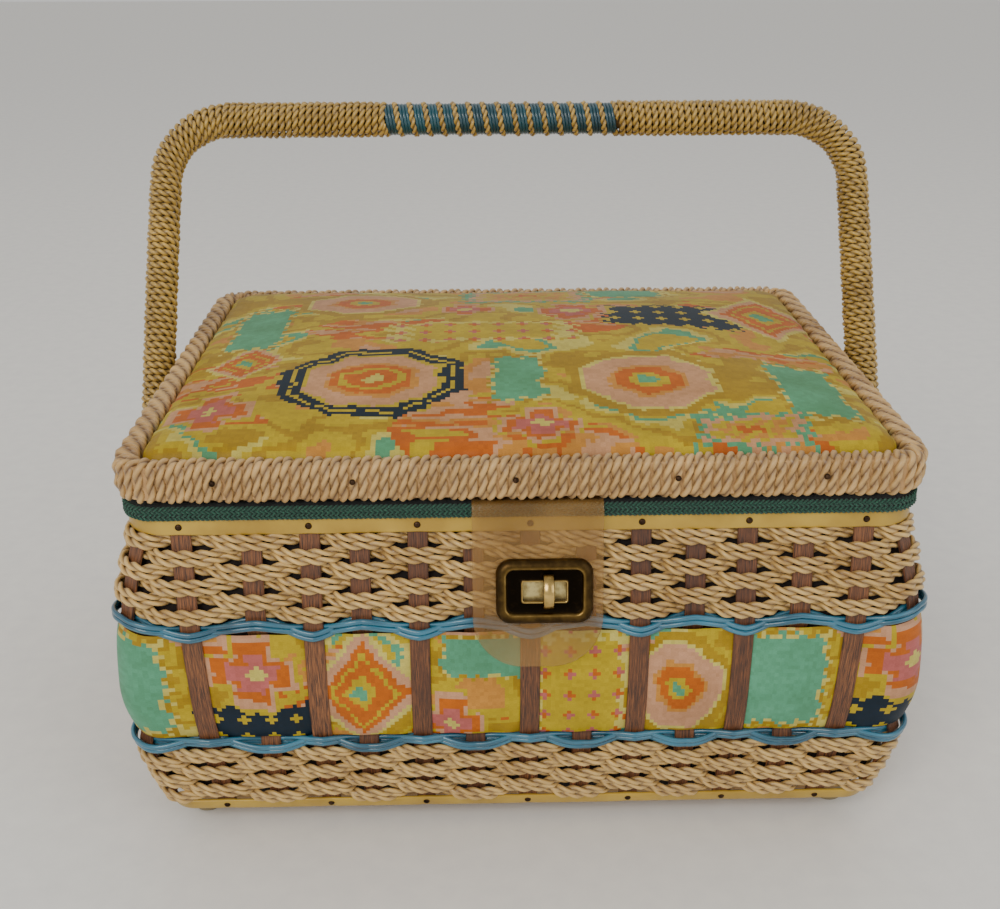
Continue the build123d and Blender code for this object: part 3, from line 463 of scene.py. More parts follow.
def stake_finish():
    """Dark reddish wood with grain up the stake."""
    f = Finish("stake_wood", Coat_Weight=0.12, Coat_Roughness=0.4)
    own = f.own("cord")
    grain = f.noise(f.stretch(own, (0.05, 2.2, 0.3)), 1.0, 5.0, 0.65)
    pores = f.noise(f.stretch(own, (0.16, 6.0, 1.0)), 1.0, 3.0, 0.6)
    drift = f.noise(f.place(), 14.0, 2.0)
    tone = f.blend(grain, drift)
    body = f.ramp(tone, [(0.34, (66, 36, 18)), (0.5, (112, 66, 35)), (0.66, (156, 100, 56))])
    colour = f.mix(f.ramp(pores, [(0.4, BLACK), (0.56, WHITE)]), (46, 27, 18), body)
    return f.done(colour, f.rise(pores, 0.3, 0.42), f.bump(pores, 0.12, 0.6))


def wood_finish(name, light, dark):
    """Plain pale wood of the frame and boards."""
    f = Finish(name)
    grain = f.noise(f.stretch(f.place(), (8.0, 60.0, 60.0)), 1.0, 4.0, 0.6)
    colour = f.ramp(grain, [(0.35, dark), (0.65, light)])
    return f.done(colour, f.rise(grain, 0.2, 0.5), f.bump(grain, 0.2, 0.5))


def plastic_finish(name, light, dark, rough=0.32):
    """Moulded or extruded plastic with a faint unevenness and scuffs."""
    f = Finish(name, Coat_Weight=0.2, Coat_Roughness=0.2)
    place = f.place()
    cloud = f.noise(place, 45.0, 3.0)
    scuff = f.noise(f.stretch(place, (1.0, 1.0, 3.0)), 420.0, 3.0, 0.7)
    colour = f.ramp(cloud, [(0.35, dark), (0.65, light)])
    relief = f.bump(cloud, 0.35, 0.5, f.bump(scuff, 0.05, 0.4))
    return f.done(colour, f.rise(scuff, 0.3, rough - 0.1), relief)


def metal_finish(name, bright, dull, rough=0.3):
    """Worn metal: bright and tarnished areas by noise."""
    f = Finish(name, Metallic=1.0)
    tarnish = f.noise(f.place(), 220.0, 5.0, 0.65)
    colour = f.ramp(tarnish, [(0.38, dull), (0.62, bright)])
    return f.done(colour, f.rise(tarnish, -0.3, rough + 0.2), f.bump(tarnish, 0.04, 0.5))


def lock_finish():
    """Antique brass whose rubbed edges show bright, by the wear stored on the mesh."""
    f = Finish("lock_brass", Metallic=1.0)
    wear = f.split(f.own("wear"))[0]
    patina = f.noise(f.place(), 260.0, 5.0, 0.7)
    rubbed = f.math("ADD", wear, f.math("MULTIPLY", f.math("SUBTRACT", patina, 0.5), 0.5))
    stops = [(0.08, (20, 15, 9)), (0.4, (60, 45, 24)), (0.68, (112, 88, 46)), (0.95, (206, 174, 104))]
    return f.done(f.ramp(rubbed, stops), f.rise(rubbed, -0.28, 0.5), f.bump(patina, 0.05, 0.5))


# Colours of the print.
YELLOW = (206, 176, 30)
MUSTARD = (184, 146, 18)
ORANGE = (212, 106, 12)
PEACH = (218, 148, 68)
PINK = (220, 162, 134)
ROSE = (204, 108, 112)
AQUA = (98, 172, 144)
CREAM = (224, 206, 112)
NAVY = (2, 32, 56)

# Printed motifs: how far a point is from the middle is measured, and its colours from the middle out.
MOTIFS = {
    "ringed": ("round", [
        (0.0, CREAM), (0.1, ORANGE), (0.24, YELLOW), (0.32, ORANGE), (0.42, PEACH), (0.5, PINK),
        (0.72, YELLOW), (0.78, NAVY), (0.86, YELLOW), (0.9, NAVY)]),
    "sun": ("round", [
        (0.0, AQUA), (0.12, YELLOW), (0.22, ORANGE), (0.4, PEACH), (0.48, PINK), (0.78, CREAM),
        (0.84, MUSTARD)]),
    "lozenge": ("diamond", [
        (0.0, AQUA), (0.16, YELLOW), (0.3, ORANGE), (0.52, YELLOW), (0.6, ORANGE), (0.74, PINK),
        (0.9, CREAM)]),
    "plus": ("cross", [(0.0, CREAM), (0.2, ROSE), (0.5, ORANGE), (0.72, PINK), (0.88, YELLOW)]),
    "window": ("block", [(0.0, AQUA), (0.86, CREAM), (0.92, MUSTARD)]),
    "frame": ("block", [
        (0.0, ORANGE), (0.24, YELLOW), (0.4, PEACH), (0.58, YELLOW), (0.72, PINK), (0.86, AQUA)]),
    "night": ("block", [(0.0, NAVY)]),
    "meadow": ("block", [(0.0, YELLOW), (0.8, CREAM)]),
}


def small_pattern(f, stepped, cell):
    """Small crosses six squares apart, and teeth two squares wide that step sideways."""
    u, v, _ = f.split(stepped)
    near = []
    for along in (u, v):
        off = f.math("SUBTRACT", f.math("FLOORED_MODULO", along, cell * 6), cell * 2.5)
        near.append(f.math("ABSOLUTE", off))
    crosses = f.math("LESS_THAN", f.math("ADD", *near), cell * 1.5)
    teeth = f.math("LESS_THAN", f.math("FLOORED_MODULO", f.math("ADD", u, v), cell * 4), cell * 2)
    return crosses, teeth


def print_ground(f, place):
    """Stepped patches of yellows, broken by streaks of orange and pink."""
    broad = f.noise(f.stretch(place, (0.021, 0.032, 0.02)), 1.0, 1.5, 0.4)
    patches = f.ramp(broad, [
        (0.0, PINK), (0.34, PEACH), (0.4, YELLOW), (0.47, MUSTARD), (0.52, YELLOW), (0.56, CREAM),
        (0.6, AQUA), (0.64, YELLOW)], True)
    bands = f.noise(f.vector("ADD", f.stretch(place, (0.015, 0.06, 0.02)), (7.3, 2.1, 0.0)), 1.0, 2.0, 0.5)
    streaks = f.ramp(bands, [
        (0.0, ORANGE), (0.4, PEACH), (0.45, PINK), (0.5, ORANGE), (0.55, YELLOW), (0.62, MUSTARD)], True)
    choice = f.noise(f.vector("ADD", f.stretch(place, (0.013, 0.013, 0.02)), (3.7, 9.1, 0.0)), 1.0, 1.0)
    return f.mix(f.math("GREATER_THAN", choice, 0.55), patches, streaks)


def motif_distance(f, measure, place, middle, half, teeth):
    """How far a point is from a motif's middle, 1 at its edge."""
    away = f.vector("SUBTRACT", place, (*middle, 0.0))
    x, y, _ = f.split(f.vector("ABSOLUTE", f.stretch(away, (1 / half[0], 1 / half[1], 0.0))))
    if measure == "diamond":
        return f.math("ADD", x, y)
    if measure == "cross":
        tall = f.math("MAXIMUM", f.math("MULTIPLY", x, 2.4), y)
        wide = f.math("MAXIMUM", x, f.math("MULTIPLY", y, 2.4))
        return f.math("MINIMUM", tall, wide)
    square = f.math("MAXIMUM", x, y)
    if measure == "round":
        return f.math("MAXIMUM", square, f.math("MULTIPLY", f.math("ADD", x, y), 0.72))
    return f.math("ADD", square, f.math("MULTIPLY", teeth, 0.1))


def print_finish(name, cell, repeat, pale, deep, motifs):
    """A printed satin in small squares: a ground with motifs laid out on it, faded between two tints."""
    f = Finish(name, Sheen_Weight=0.02, Sheen_Roughness=0.4, Coat_Weight=0.02, Coat_Roughness=0.4)
    f.set("Specular IOR Level", 0.25)
    own = f.own("print")
    u, v, _ = f.split(own)
    if repeat:
        u = f.math("SUBTRACT", f.math("FLOORED_MODULO", u, repeat), repeat / 2)
    stepped = f.vector("ADD", f.vector("SNAP", f.join(u, v), (cell, cell, 1.0)), (cell / 2, cell / 2, 0.0))
    slow = f.stretch(stepped, (0.07, 0.07, 0.07))
    uneven = f.node("ShaderNodeTexNoise", {"Vector": slow, "Scale": 1.0}, "Color")
    uneven = f.stretch(f.vector("SUBTRACT", uneven, (0.5, 0.5, 0.5)), (6.0 * cell, 6.0 * cell, 0.0))
    place = f.vector("ADD", stepped, uneven)
    crosses, teeth = small_pattern(f, stepped, cell)
    colour = print_ground(f, place)
    for kind, middle, half in motifs:
        measure, stops = MOTIFS[kind]
        far = motif_distance(f, measure, place, middle, half, teeth)
        shown = f.ramp(far, stops, True)
        if kind == "night":
            shown = f.mix(crosses, shown, YELLOW)
        elif kind == "meadow":
            shown = f.mix(crosses, shown, f.mix(teeth, ORANGE, ROSE))
        colour = f.mix(f.math("LESS_THAN", far, 1.0), colour, shown)
    wash = f.noise(f.stretch(own, (0.035, 0.05, 0.05)), 1.0, 3.0)
    colour = f.mix(1.0, colour, f.ramp(wash, [(0.3, deep), (0.7, pale)]), "MULTIPLY")
    speckle = f.node("ShaderNodeTexWhiteNoise", {"Vector": stepped})
    colour = f.mix(0.3, colour, f.ramp(speckle, [(0.0, (190, 180, 150)), (1.0, WHITE)]), "MULTIPLY")
    threads = f.noise(f.stretch(own, (1.3, 3.6, 1.0)), 1.0, 2.0, 0.6)
    colour = f.mix(0.22, colour, f.ramp(threads, [(0.35, (150, 138, 112)), (0.65, WHITE)]), "MULTIPLY")
    return f.done(colour, f.rise(threads, 0.2, 0.45), f.bump(threads, 0.05, 0.5))


def lining_finish():
    """Golden satin of the lining."""
    f = Finish("lining_cloth", Sheen_Weight=0.35, Sheen_Roughness=0.4)
    place = f.place()
    threads = f.noise(f.stretch(place, (900.0, 900.0, 260.0)), 1.0, 2.0)
    cloud = f.noise(place, 22.0, 3.0)
    colour = f.ramp(cloud, [(0.35, (186, 146, 62)), (0.65, (212, 176, 92))])
    return f.done(colour, f.rise(threads, 0.25, 0.32), f.bump(threads, 0.05, 0.6))


def braid_finish():
    """Fuzzy dark green yarn, with painted shade in its ply grooves and all over the backing, which has no
    cord values.
    """
    f = Finish("green_braid", Sheen_Weight=0.12, Sheen_Roughness=0.6, Roughness=0.9)
    own = f.own("cord")
    fuzz = f.noise(f.stretch(own, (1.8, 3.0, 1.0)), 1.0, 4.0, 0.8)
    yarn = f.ramp(fuzz, [(0.34, (4, 34, 28)), (0.52, (12, 66, 50)), (0.64, (70, 142, 110))])
    # Painted shade: (2, 12, 12) fills the yarn's grooves and the backing behind the rows.
    colour = f.mix(f.math("POWER", f.split(own)[2], 0.6), (2, 12, 12), yarn)
    return f.done(colour, None, f.bump(fuzz, 0.3, 0.8))


def shade_sheet_finish():
    """Dark brown sheet behind the weave, painted shade for the gaps between its cords."""
    f = Finish("painted_shade_sheet")
    cloud = f.noise(f.place(), 60.0, 4.0)
    colour = f.ramp(cloud, [(0.35, (22, 14, 11)), (0.65, (36, 24, 19))])
    return f.done(colour, f.rise(cloud, 0.2, 0.75), f.bump(cloud, 0.1, 0.4))


def vinyl_finish():
    """Amber clear vinyl gone slightly milky."""
    f = Finish("amber_vinyl", Coat_Weight=0.5, Coat_Roughness=0.12, IOR=1.45, Specular_IOR_Level=0.5)
    place = f.place()
    haze = f.noise(place, 40.0, 3.0)
    scratch = f.noise(f.stretch(place, (60.0, 60.0, 900.0)), 1.0, 3.0, 0.7)
    f.set("Alpha", 0.3)
    colour = f.ramp(haze, [(0.35, (138, 98, 42)), (0.65, (166, 124, 62))])
    return f.done(colour, f.rise(scratch, 0.2, 0.18), f.bump(haze, 0.5, 0.4))


# The third colour of each cord is painted shade for its ply grooves.
paper = cord_finish("paper_cord", (212, 176, 106), (176, 136, 70), (88, 54, 20))
rim_paper = cord_finish("rim_cord", (200, 162, 102), (168, 128, 72), (82, 50, 22), 0.25, 0.44)
handle_paper = cord_finish("handle_cord", (190, 154, 68), (152, 118, 42), (66, 42, 12), 0.4, 0.36)
blue_cane = cane_finish("blue_cane", (56, 126, 152), (6, 48, 68))
teal_cane = cane_finish("teal_cane", (14, 78, 90), (3, 28, 40))
core_wood = wood_finish("core_wood", (120, 90, 44), (84, 60, 26))
stake_wood = stake_finish()
frame_wood = wood_finish("frame_wood", (196, 158, 106), (160, 120, 74))
mustard = plastic_finish("mustard_plastic", (188, 154, 54), (164, 130, 40))
rubber = plastic_finish("feet_rubber", (150, 136, 100), (122, 108, 76), 0.5)
steel = metal_finish("pivot_steel", (172, 166, 152), (110, 98, 78))
tack_metal = metal_finish("tack_steel", (74, 56, 42), (34, 24, 18), 0.4)
hinge_metal = metal_finish("hinge_brass", (196, 160, 90), (120, 90, 44))
lock_metal = lock_finish()
pale_brass = metal_finish("lock_base_brass", (214, 196, 136), (150, 128, 78), 0.35)

# Each motif's kind, middle and half size. The band's repeat along the wall.
LID_MOTIFS = [
    ("frame", (10.0, 84.0), (36.0, 20.0)),
    ("window", (-122.0, 30.0), (15.0, 36.0)),
    ("meadow", (-14.0, 6.0), (46.0, 15.0)),
    ("window", (124.0, -60.0), (16.0, 34.0)),
    ("window", (0.0, -50.0), (13.0, 25.0)),
    ("sun", (-74.0, 66.0), (34.0, 27.0)),
    ("night", (78.0, 34.0), (34.0, 19.0)),
    ("lozenge", (126.0, 42.0), (30.0, 36.0)),
    ("plus", (30.0, 42.0), (20.0, 20.0)),
    ("window", (62.0, 90.0), (24.0, 13.0)),
    ("ringed", (-62.0, -50.0), (39.0, 34.0)),
    ("sun", (56.0, -54.0), (35.0, 31.0)),
    ("plus", (-126.0, -76.0), (20.0, 22.0)),
    ("lozenge", (-120.0, -20.0), (18.0, 22.0)),
    ("plus", (8.0, -92.0), (18.0, 14.0)),
    ("frame", (92.0, -96.0), (24.0, 12.0)),
    ("plus", (-22.0, 48.0), (15.0, 15.0)),
]
BAND_MOTIFS = [
    ("meadow", (-114.0, 76.0), (22.0, 34.0)),
    ("sun", (-72.0, 78.0), (23.0, 25.0)),
    ("window", (-26.0, 80.0), (20.0, 25.0)),
    ("night", (22.0, 62.0), (25.0, 11.0)),
    ("plus", (20.0, 88.0), (19.0, 19.0)),
    ("lozenge", (66.0, 78.0), (27.0, 30.0)),
    ("plus", (102.0, 62.0), (16.0, 18.0)),
    ("window", (116.0, 94.0), (20.0, 11.0)),
]
lid_print = print_finish("lid_print", 1.9, 0.0, (236, 240, 214), (206, 206, 172), LID_MOTIFS)
band_print = print_finish("band_print", 1.7, 6 * STAKE_PITCH, (242, 248, 234), (212, 214, 194), BAND_MOTIFS)
# A near-black sheet painted as the shade seen through the weave's gaps.
shade_sheet = shade_sheet_finish()
lining = lining_finish()
green = braid_finish()
vinyl = vinyl_finish()

# Weave.
CORD_RADIUS = 1.85
CORD_TWIST = 13.0
DEPTH = 2.42
ROW_SAMPLES = 1560


def weave_side(phase, over_front):
    """How far out a cord runs: +1 in front of a stake, -1 behind it, with a flattened top."""
    wave = np.cos(PI * phase) * (1 if over_front else -1)
    return np.tanh(1.7 * wave) / math.tanh(1.7)


def weave_rows(name, zone, rows, first_over_front, spread, node):
    """Rows of doubled cord woven round the stakes."""
    pitch = (zone[1] - zone[0]) / rows
    phase = np.arange(ROW_SAMPLES) * STAKE_COUNT / ROW_SAMPLES
    for row in range(rows):
        height = zone[1] - pitch * (row + 0.5)
        over = weave_side(phase, (row % 2 == 0) == first_over_front)
        drift = wander(phase, row + zone[0], 0.35)
        cords = []
        for k, sign in enumerate((1, -1)):
            rise = sign * (pitch / 4 + spread * over) + drift
            out = -STAKE_THICKNESS / 2 + DEPTH * over + wander(phase, 3 * row + k + 11, 0.16)
            path, normals, _ = wall(height, phase, out, rise)
            cords.append(twisted_cord(path, normals, CORD_RADIUS, CORD_TWIST, True, 2.1 * row + 4 * k))
        stands_for = (node,) if row == 0 else ()
        build(f"{name}_{row + 1}", joined(cords), "basket", paper, stands_for)


weave_rows("upper_cord", WEAVE_HIGH, 6, False, 0.14, "upper_weave")
weave_rows("lower_cord", WEAVE_LOW, 6, True, 0.45, "lower_weave")

# Twined cane.
CANE = (2.25, 2.0)


def twining(name, zone, swing, lift, node):
    """Two pairs of cane: one passes in front of the outer stakes, the other in front of the inner ones,
    and both swing to one side at the outer stakes and to the other at the inner ones."""
    middle = sum(zone) / 2 + lift
    phase = np.arange(ROW_SAMPLES) * STAKE_COUNT / ROW_SAMPLES
    near = np.cos(PI * phase)
    over = 1.1 * np.abs(np.sin(PI * phase))
    canes = []
    for pair, sign in enumerate((1, -1)):
        out = -STAKE_THICKNESS / 2 + sign * (2.3 * near - over)
        centre = swing * (0.8 * near + 0.2 * sign)
        for k in (-1, 1):
            rise = centre + k * 1.16 + wander(phase, pair + 2 * k + zone[0], 0.16)
            path, normals, _ = wall(middle, phase, out + 0.15 * k, rise)
            canes.append(cane(path, normals, oval(*CANE), True, 20 * pair + 7 * k))
    build(name, joined(canes), "basket", blue_cane, (node,))


twining("upper_cane", UPPER_TWINING, -2.5, 1.4, "upper_twining")
twining("lower_cane", LOWER_TWINING, 1.9, -0.8, "lower_twining")


# Stakes.
def stake_depth(height, behind):
    """The inner stakes drop behind the cloth between the two rows of cane."""
    if not behind:
        return 0.0 * height
    low = np.clip((height - LOWER_TWINING[0]) / (LOWER_TWINING[1] - LOWER_TWINING[0]), 0, 1)
    high = np.clip((UPPER_TWINING[1] - height) / (UPPER_TWINING[1] - UPPER_TWINING[0]), 0, 1)
    share = np.minimum(low, high)
    return -2.9 * share * share * (3 - 2 * share)


def stakes(name, behind, node):
    """All stakes of one layer."""
    heights = np.linspace(BASE_STRIP[0] + 0.5, RIM_STRIP[1] - 0.3, 48)
    made = []
    for k in range(1 if behind else 0, STAKE_COUNT, 2):
        path, normals = [], []
        for height in heights:
            out = -STAKE_THICKNESS / 2 + stake_depth(height, behind)
            point, normal, _ = wall(height, np.array([float(k)]), out)
            path.append(point[0])
            normals.append(normal[0])
        path, normals = np.array(path), np.array(normals)
        outline = bevelled(STAKE_WIDTH, STAKE_THICKNESS, 0.35)
        points = sweep(path, normals, outline, False)
        own = np.zeros(points.shape)
        own[..., 0] = heights[:, None] + 19.0 * k
        own[..., 1] = outline[None, :, 0] + 5.0 * k
        own[..., 2] = outline[None, :, 1]
        made.append((points, grid_faces(len(path), STRIP_SIDES), own))
    build(name, joined(made), "basket", stake_wood, (node,), smooth=False)


stakes("outer_stakes", False, "front_stakes")
stakes("inner_stakes", True, "back_stakes")


# Cloth band.
BAND_VIEW = (55.0, 104.8)
BAND_PUFF = 2.7


def cloth_band():
    """The printed band, puffed out between the outer stakes."""
    low, high = BAND_VIEW
    phase = np.arange(960) * STAKE_COUNT / 960
    heights = np.linspace(low, high, 34)
    puff_up = np.abs(np.sin(PI * (heights - low) / (high - low))) ** 0.55
    frac = np.mod(phase, 2.0) / 2.0
    puff = np.sin(PI * frac) ** 0.8
    points = np.zeros((len(heights), len(phase), 3))
    own = np.zeros(points.shape)
    for i, height in enumerate(heights):
        crease = 0.25 * np.sin(phase * 9.0 + 0.12 * height) * (1 - puff_up[i]) + wander(phase, 5.0, 0.12)
        out = -STAKE_THICKNESS - 0.25 + BAND_PUFF * puff * (0.35 + 0.65 * puff_up[i]) + crease
        points[i] = wall(height, phase, out)[0]
        own[i, :, 0] = phase * STAKE_PITCH / 2
        own[i, :, 1] = height
    mesh = (points, grid_faces(len(heights), len(phase)), own)
    piece = build("cloth_band", mesh, "basket", band_print, ("fabric_band",), kind="print")


cloth_band()


# Strips, tacks and braid.
def strip(name, zone, wave, node):
    """A flat strip nailed round the wall, with softly rounded edges."""
    middle, height = sum(zone) / 2, zone[1] - zone[0]
    phase = np.arange(1200) * STAKE_COUNT / 1200
    dip = -0.25 * np.exp(-((np.mod(phase + 1, 2) - 1) / 0.12) ** 2)
    path, normals, place = wall(middle, phase, 0.75 + dip, wander(phase, zone[0], wave))
    angle = np.arange(16) * 2 * PI / 16
    outline = np.stack([
        np.sign(np.cos(angle)) * height / 2 * np.abs(np.cos(angle)) ** 0.3,
        np.sign(np.sin(angle)) * 0.75 * np.abs(np.sin(angle)) ** 0.45,
    ], axis=-1)
    tilt = -np.arctan(profile(middle)[2]) * np.ones(len(path))
    points = sweep(path, normals, outline, True, tilt)
    own = np.zeros(points.shape)
    own[..., 0] = place[:, None]
    own[..., 1] = outline[None, :, 0]
    mesh = (points, grid_faces(len(path), len(outline), True), own)
    build(name, mesh, "basket", mustard, (node,))


strip("rim_binding", RIM_STRIP, 0.18, "rim_strip")
strip("base_binding", BASE_STRIP, 0.15, "base_strip")


def nails(name, places, radius, height, body, node):
    """Low domed heads, each at a place with its outward direction."""
    rings = [(0.02, 1.0), (0.35, 0.95), (0.65, 0.8), (0.88, 0.5), (1.0, 0.15), (1.0, -0.6)]
    made = []
    angle = np.arange(14) * 2 * PI / 14
    for centre, out in places:
        out = unit(np.array(out, float))
        side = unit(np.cross(out, (0.0, 0.0, 1.0)))
        up = np.cross(side, out)
        points = np.zeros((len(rings), len(angle), 3))
        for i, (share, lift) in enumerate(rings):
            circle = np.cos(angle)[:, None] * side + np.sin(angle)[:, None] * up
            points[i] = np.array(centre) + circle * radius * share + out * height * lift
        made.append((points, grid_faces(len(rings), len(angle)), np.zeros(points.shape)))
    build(name, joined(made), body, tack_metal, (node,))


def strip_tacks(zone):
    """Places of the tacks of one strip, over every outer stake."""
    centres, normals, _ = wall(sum(zone) / 2, np.arange(0.0, STAKE_COUNT, 2), 1.35)
    return list(zip(centres, normals))


nails("rim_nails", strip_tacks(RIM_STRIP), 1.35, 0.6, "basket", "rim_tacks")
nails("base_nails", strip_tacks(BASE_STRIP), 1.35, 0.6, "basket", "base_tacks")

RIM_MIDDLE = (LID_BOTTOM + RIM_TOP) / 2
NAIL_Z = RIM_MIDDLE + 1
lid_nails = [((x, -HALF_Y - 0.3, NAIL_Z), (0, -1, 0)) for x in (-118, -65, -3, 59, 116)]
lid_nails += [((x, HALF_Y + 0.3, NAIL_Z), (0, 1, 0)) for x in (-126, -42, 42, 126)]
lid_nails += [((s * (HALF_X + 0.3), y, NAIL_Z), (s, 0, 0)) for s in (-1, 1) for y in (-60, 60)]
nails("lid_nails", lid_nails, 1.15, 0.8, "lid", "lid_tacks")


YARN_RADIUS = 1.02
YARN_TWIST = 3.8


def braid():
    """Four rows of yarn stitched side by side, their twists turned against each other."""
    rows, corner = 1700, 14.0
    half_x, half_y = HALF_X - 2.7, HALF_Y - 2.7
    share = np.arange(rows) / rows
    total = 4 * (half_x + half_y - 2 * corner) + 2 * PI * corner
    x, y, nx, ny = loop(half_x, half_y, corner, share * total)
    normals = np.stack([nx, ny, 0 * nx], axis=-1)
    made = []
    for k in range(4):
        level = BRAID[0] + 0.75 + 1.37 * k
        out = 0.12 * np.sin(share * 2 * PI * 130 + k)
        path = np.stack([x + nx * out, y + ny * out, np.full(rows, level)], axis=-1)
        made.append(twisted_cord(path, normals, YARN_RADIUS, -YARN_TWIST if k % 2 else YARN_TWIST, True, k))
    # The backing carries no cord values, so the braid material paints it in the near-black groove shade.
    backing = np.stack([x - nx * 3.4, y - ny * 3.4, np.full(rows, sum(BRAID) / 2)], axis=-1)
    points = sweep(backing, normals, bevelled(5.4, 5.4, 0.4), True)
    made.append((points, grid_faces(rows, STRIP_SIDES, True), np.zeros(points.shape)))
    build("green_trim", joined(made), "basket", green, ("rim_braid",))


braid()

# Lid rim winding.
RIM_CORD = 2.15
RIM_TWIST = 13.0
RIM_PITCH = 3.86
RIM_DRIFT = 14.0
RIM_SQUARENESS = 0.42
RIM_SIDES = ("front", "right", "back", "left")


def signed_power(value, power):
    """A power that keeps the sign."""
    return np.sign(value) * np.abs(value) ** power


def rim_section(turn):
    """Place on the rounded section of the rim for an angle, (outwards, up)."""
    reach_x, reach_z = RIM_WIDTH / 2 - RIM_CORD + 0.2, (RIM_TOP - LID_BOTTOM) / 2 - RIM_CORD + 0.2
    x, z = signed_power(np.cos(turn), RIM_SQUARENESS), signed_power(np.sin(turn), RIM_SQUARENESS)
    return x * reach_x, z * reach_z


def rim_winding():
    """One cord wound round the lid's frame, in four pieces that meet at the corners."""
    half_x, half_y, radius = HALF_X - RIM_WIDTH / 2, HALF_Y - RIM_WIDTH / 2, RIM_RADIUS - RIM_WIDTH / 2
    a, b, arc = half_x - radius, half_y - radius, PI * radius / 2
    total = 4 * (a + b) + 4 * arc
    turns = round(total / RIM_PITCH)
    marks = np.cumsum([-a - arc / 2, 2 * a + arc, 2 * b + arc, 2 * a + arc, 2 * b + arc])
    per_turn = 44
    for i, side in enumerate(RIM_SIDES):
        first = round(marks[i] / total * turns * per_turn)
        last = round(marks[i + 1] / total * turns * per_turn)
        count = np.arange(first, last + 3)
        share = count / (turns * per_turn)
        even = count / per_turn * 2 * PI
        jitter = 0.22 * np.sin(even * 0.137 + 1.0) + 0.16 * np.sin(even * 0.39)
        closer = RIM_DRIFT * (1 - np.cos(2 * PI * share))
        x, y, nx, ny = loop(half_x, half_y, radius, share * total + closer + jitter)
        sx, sz = rim_section(even)
        path = np.stack([x + nx * sx, y + ny * sx, RIM_MIDDLE + sz], axis=-1)
        keep = np.concatenate([[True], np.linalg.norm(np.diff(path, axis=0), axis=1) > 0.02])
        path, nx, ny, sx, sz = path[keep], nx[keep], ny[keep], sx[keep], sz[keep]
        outward = np.stack([nx * sx ** 3, ny * sx ** 3, (sz / 2.2) ** 3], axis=-1)
        cord = twisted_cord(path, unit(outward), RIM_CORD, RIM_TWIST, False, 0.6 * i, WOUND_PLY)
        stands_for = ("lid_rim_wrap",) if i == 0 else ()
        build(f"rim_winding_{side}", cord, "lid", rim_paper, stands_for)


rim_winding()


# Handle winding.
ARM_LENGTH = HANDLE_REACH - HANDLE_BEND - WINDING_START
BEND_LENGTH = PI * HANDLE_BEND / 2
HANDLE_CORD = 1.82
HANDLE_TWIST = 8.2
HANDLE_PITCH = 3.25
WINDING_REACH = 6.2
BAR_EXTRA = 0.9


def handle_path(sign, spacing):
    """Centre line on one side up the arm to the grip: places and directions in the handle's plane."""
    bar = ARM_X - HANDLE_BEND - GRIP_HALF - sign * GRIP_CENTRE + 0.6
    along = np.arange(0, ARM_LENGTH + BEND_LENGTH + bar, spacing)
    turn = np.clip((along - ARM_LENGTH) / HANDLE_BEND, 0, PI / 2)
    over = np.clip(along - ARM_LENGTH - BEND_LENGTH, 0, None)
    x = ARM_X - HANDLE_BEND * (1 - np.cos(turn)) - over
    up = WINDING_START + np.clip(along, 0, ARM_LENGTH) + HANDLE_BEND * np.sin(turn)
    ahead = np.stack([-sign * np.sin(turn), np.cos(turn)], axis=-1)
    return along, np.stack([sign * x, up], axis=-1), ahead


def to_world(flat):
    """A point or direction of the handle's plane in the world, without the pivot's place."""
    x, up = flat[:, 0], flat[:, 1]
    return np.stack([x, up * math.sin(HANDLE_TILT), up * math.cos(HANDLE_TILT)], axis=-1)


PLANE_NORMAL = np.array([0.0, -math.cos(HANDLE_TILT), math.sin(HANDLE_TILT)])


def handle_winding(name, sign, lean, node):
    """The tan cord wound tight round one arm and half the bar, thicker on the bar. The arm leans in by lean
    at its upper end."""
    along, flat, ahead = handle_path(sign, HANDLE_PITCH / 26)
    centre = to_world(flat) + np.array([0.0, 0.0, PIVOT_Z])
    on_bar = np.clip((along - ARM_LENGTH - BEND_LENGTH) / 24, 0, 1)
    centre[:, 0] -= sign * lean * np.clip(along / ARM_LENGTH, 0, 1) ** 2 * (1 - on_bar)
    side = np.cross(to_world(ahead), PLANE_NORMAL)
    turn = 2 * PI * along / HANDLE_PITCH * sign
    reach = WINDING_REACH + BAR_EXTRA * np.clip((along - ARM_LENGTH) / BEND_LENGTH, 0, 1)
    reach += 0.12 * np.sin(along * 0.31) + 0.08 * np.sin(along * 0.97)
    outward = np.cos(turn)[:, None] * PLANE_NORMAL + np.sin(turn)[:, None] * side
    path = centre + outward * reach[:, None]
    cord = twisted_cord(path, outward, HANDLE_CORD, HANDLE_TWIST, False, sign, WOUND_PLY)
    build(name, cord, "handle", handle_paper, (node,))


handle_winding("arm_winding_left", -1, 1.5, "handle_wrap_left")
handle_winding("arm_winding_right", 1, 0.0, "handle_wrap_right")

# Grip.
BAR = np.array([0.0, HANDLE_REACH * math.sin(HANDLE_TILT), PIVOT_Z + HANDLE_REACH * math.cos(HANDLE_TILT)])
GRIP_CANE = (1.75, 1.5)
GRIP_CANE_REACH = 6.9
GRIP_CANE_SHIFT = 1.65
GRIP_CORD = 1.6
GRIP_CORD_REACH = 7.1
GRIP_CORD_TWIST = 7.4


def grip_helix(start, shift, reach):
    """One strand round the bar, shifted along it."""
    angle = np.linspace(0, 2 * PI * GRIP_TURNS, GRIP_TURNS * 36)
    outward = np.stack([0 * angle, np.cos(angle + start), np.sin(angle + start)], axis=-1)
    path = BAR + outward * reach
    path[:, 0] = GRIP_CENTRE - GRIP_HALF + GRIP_PITCH * angle / (2 * PI) + shift
    return path, outward


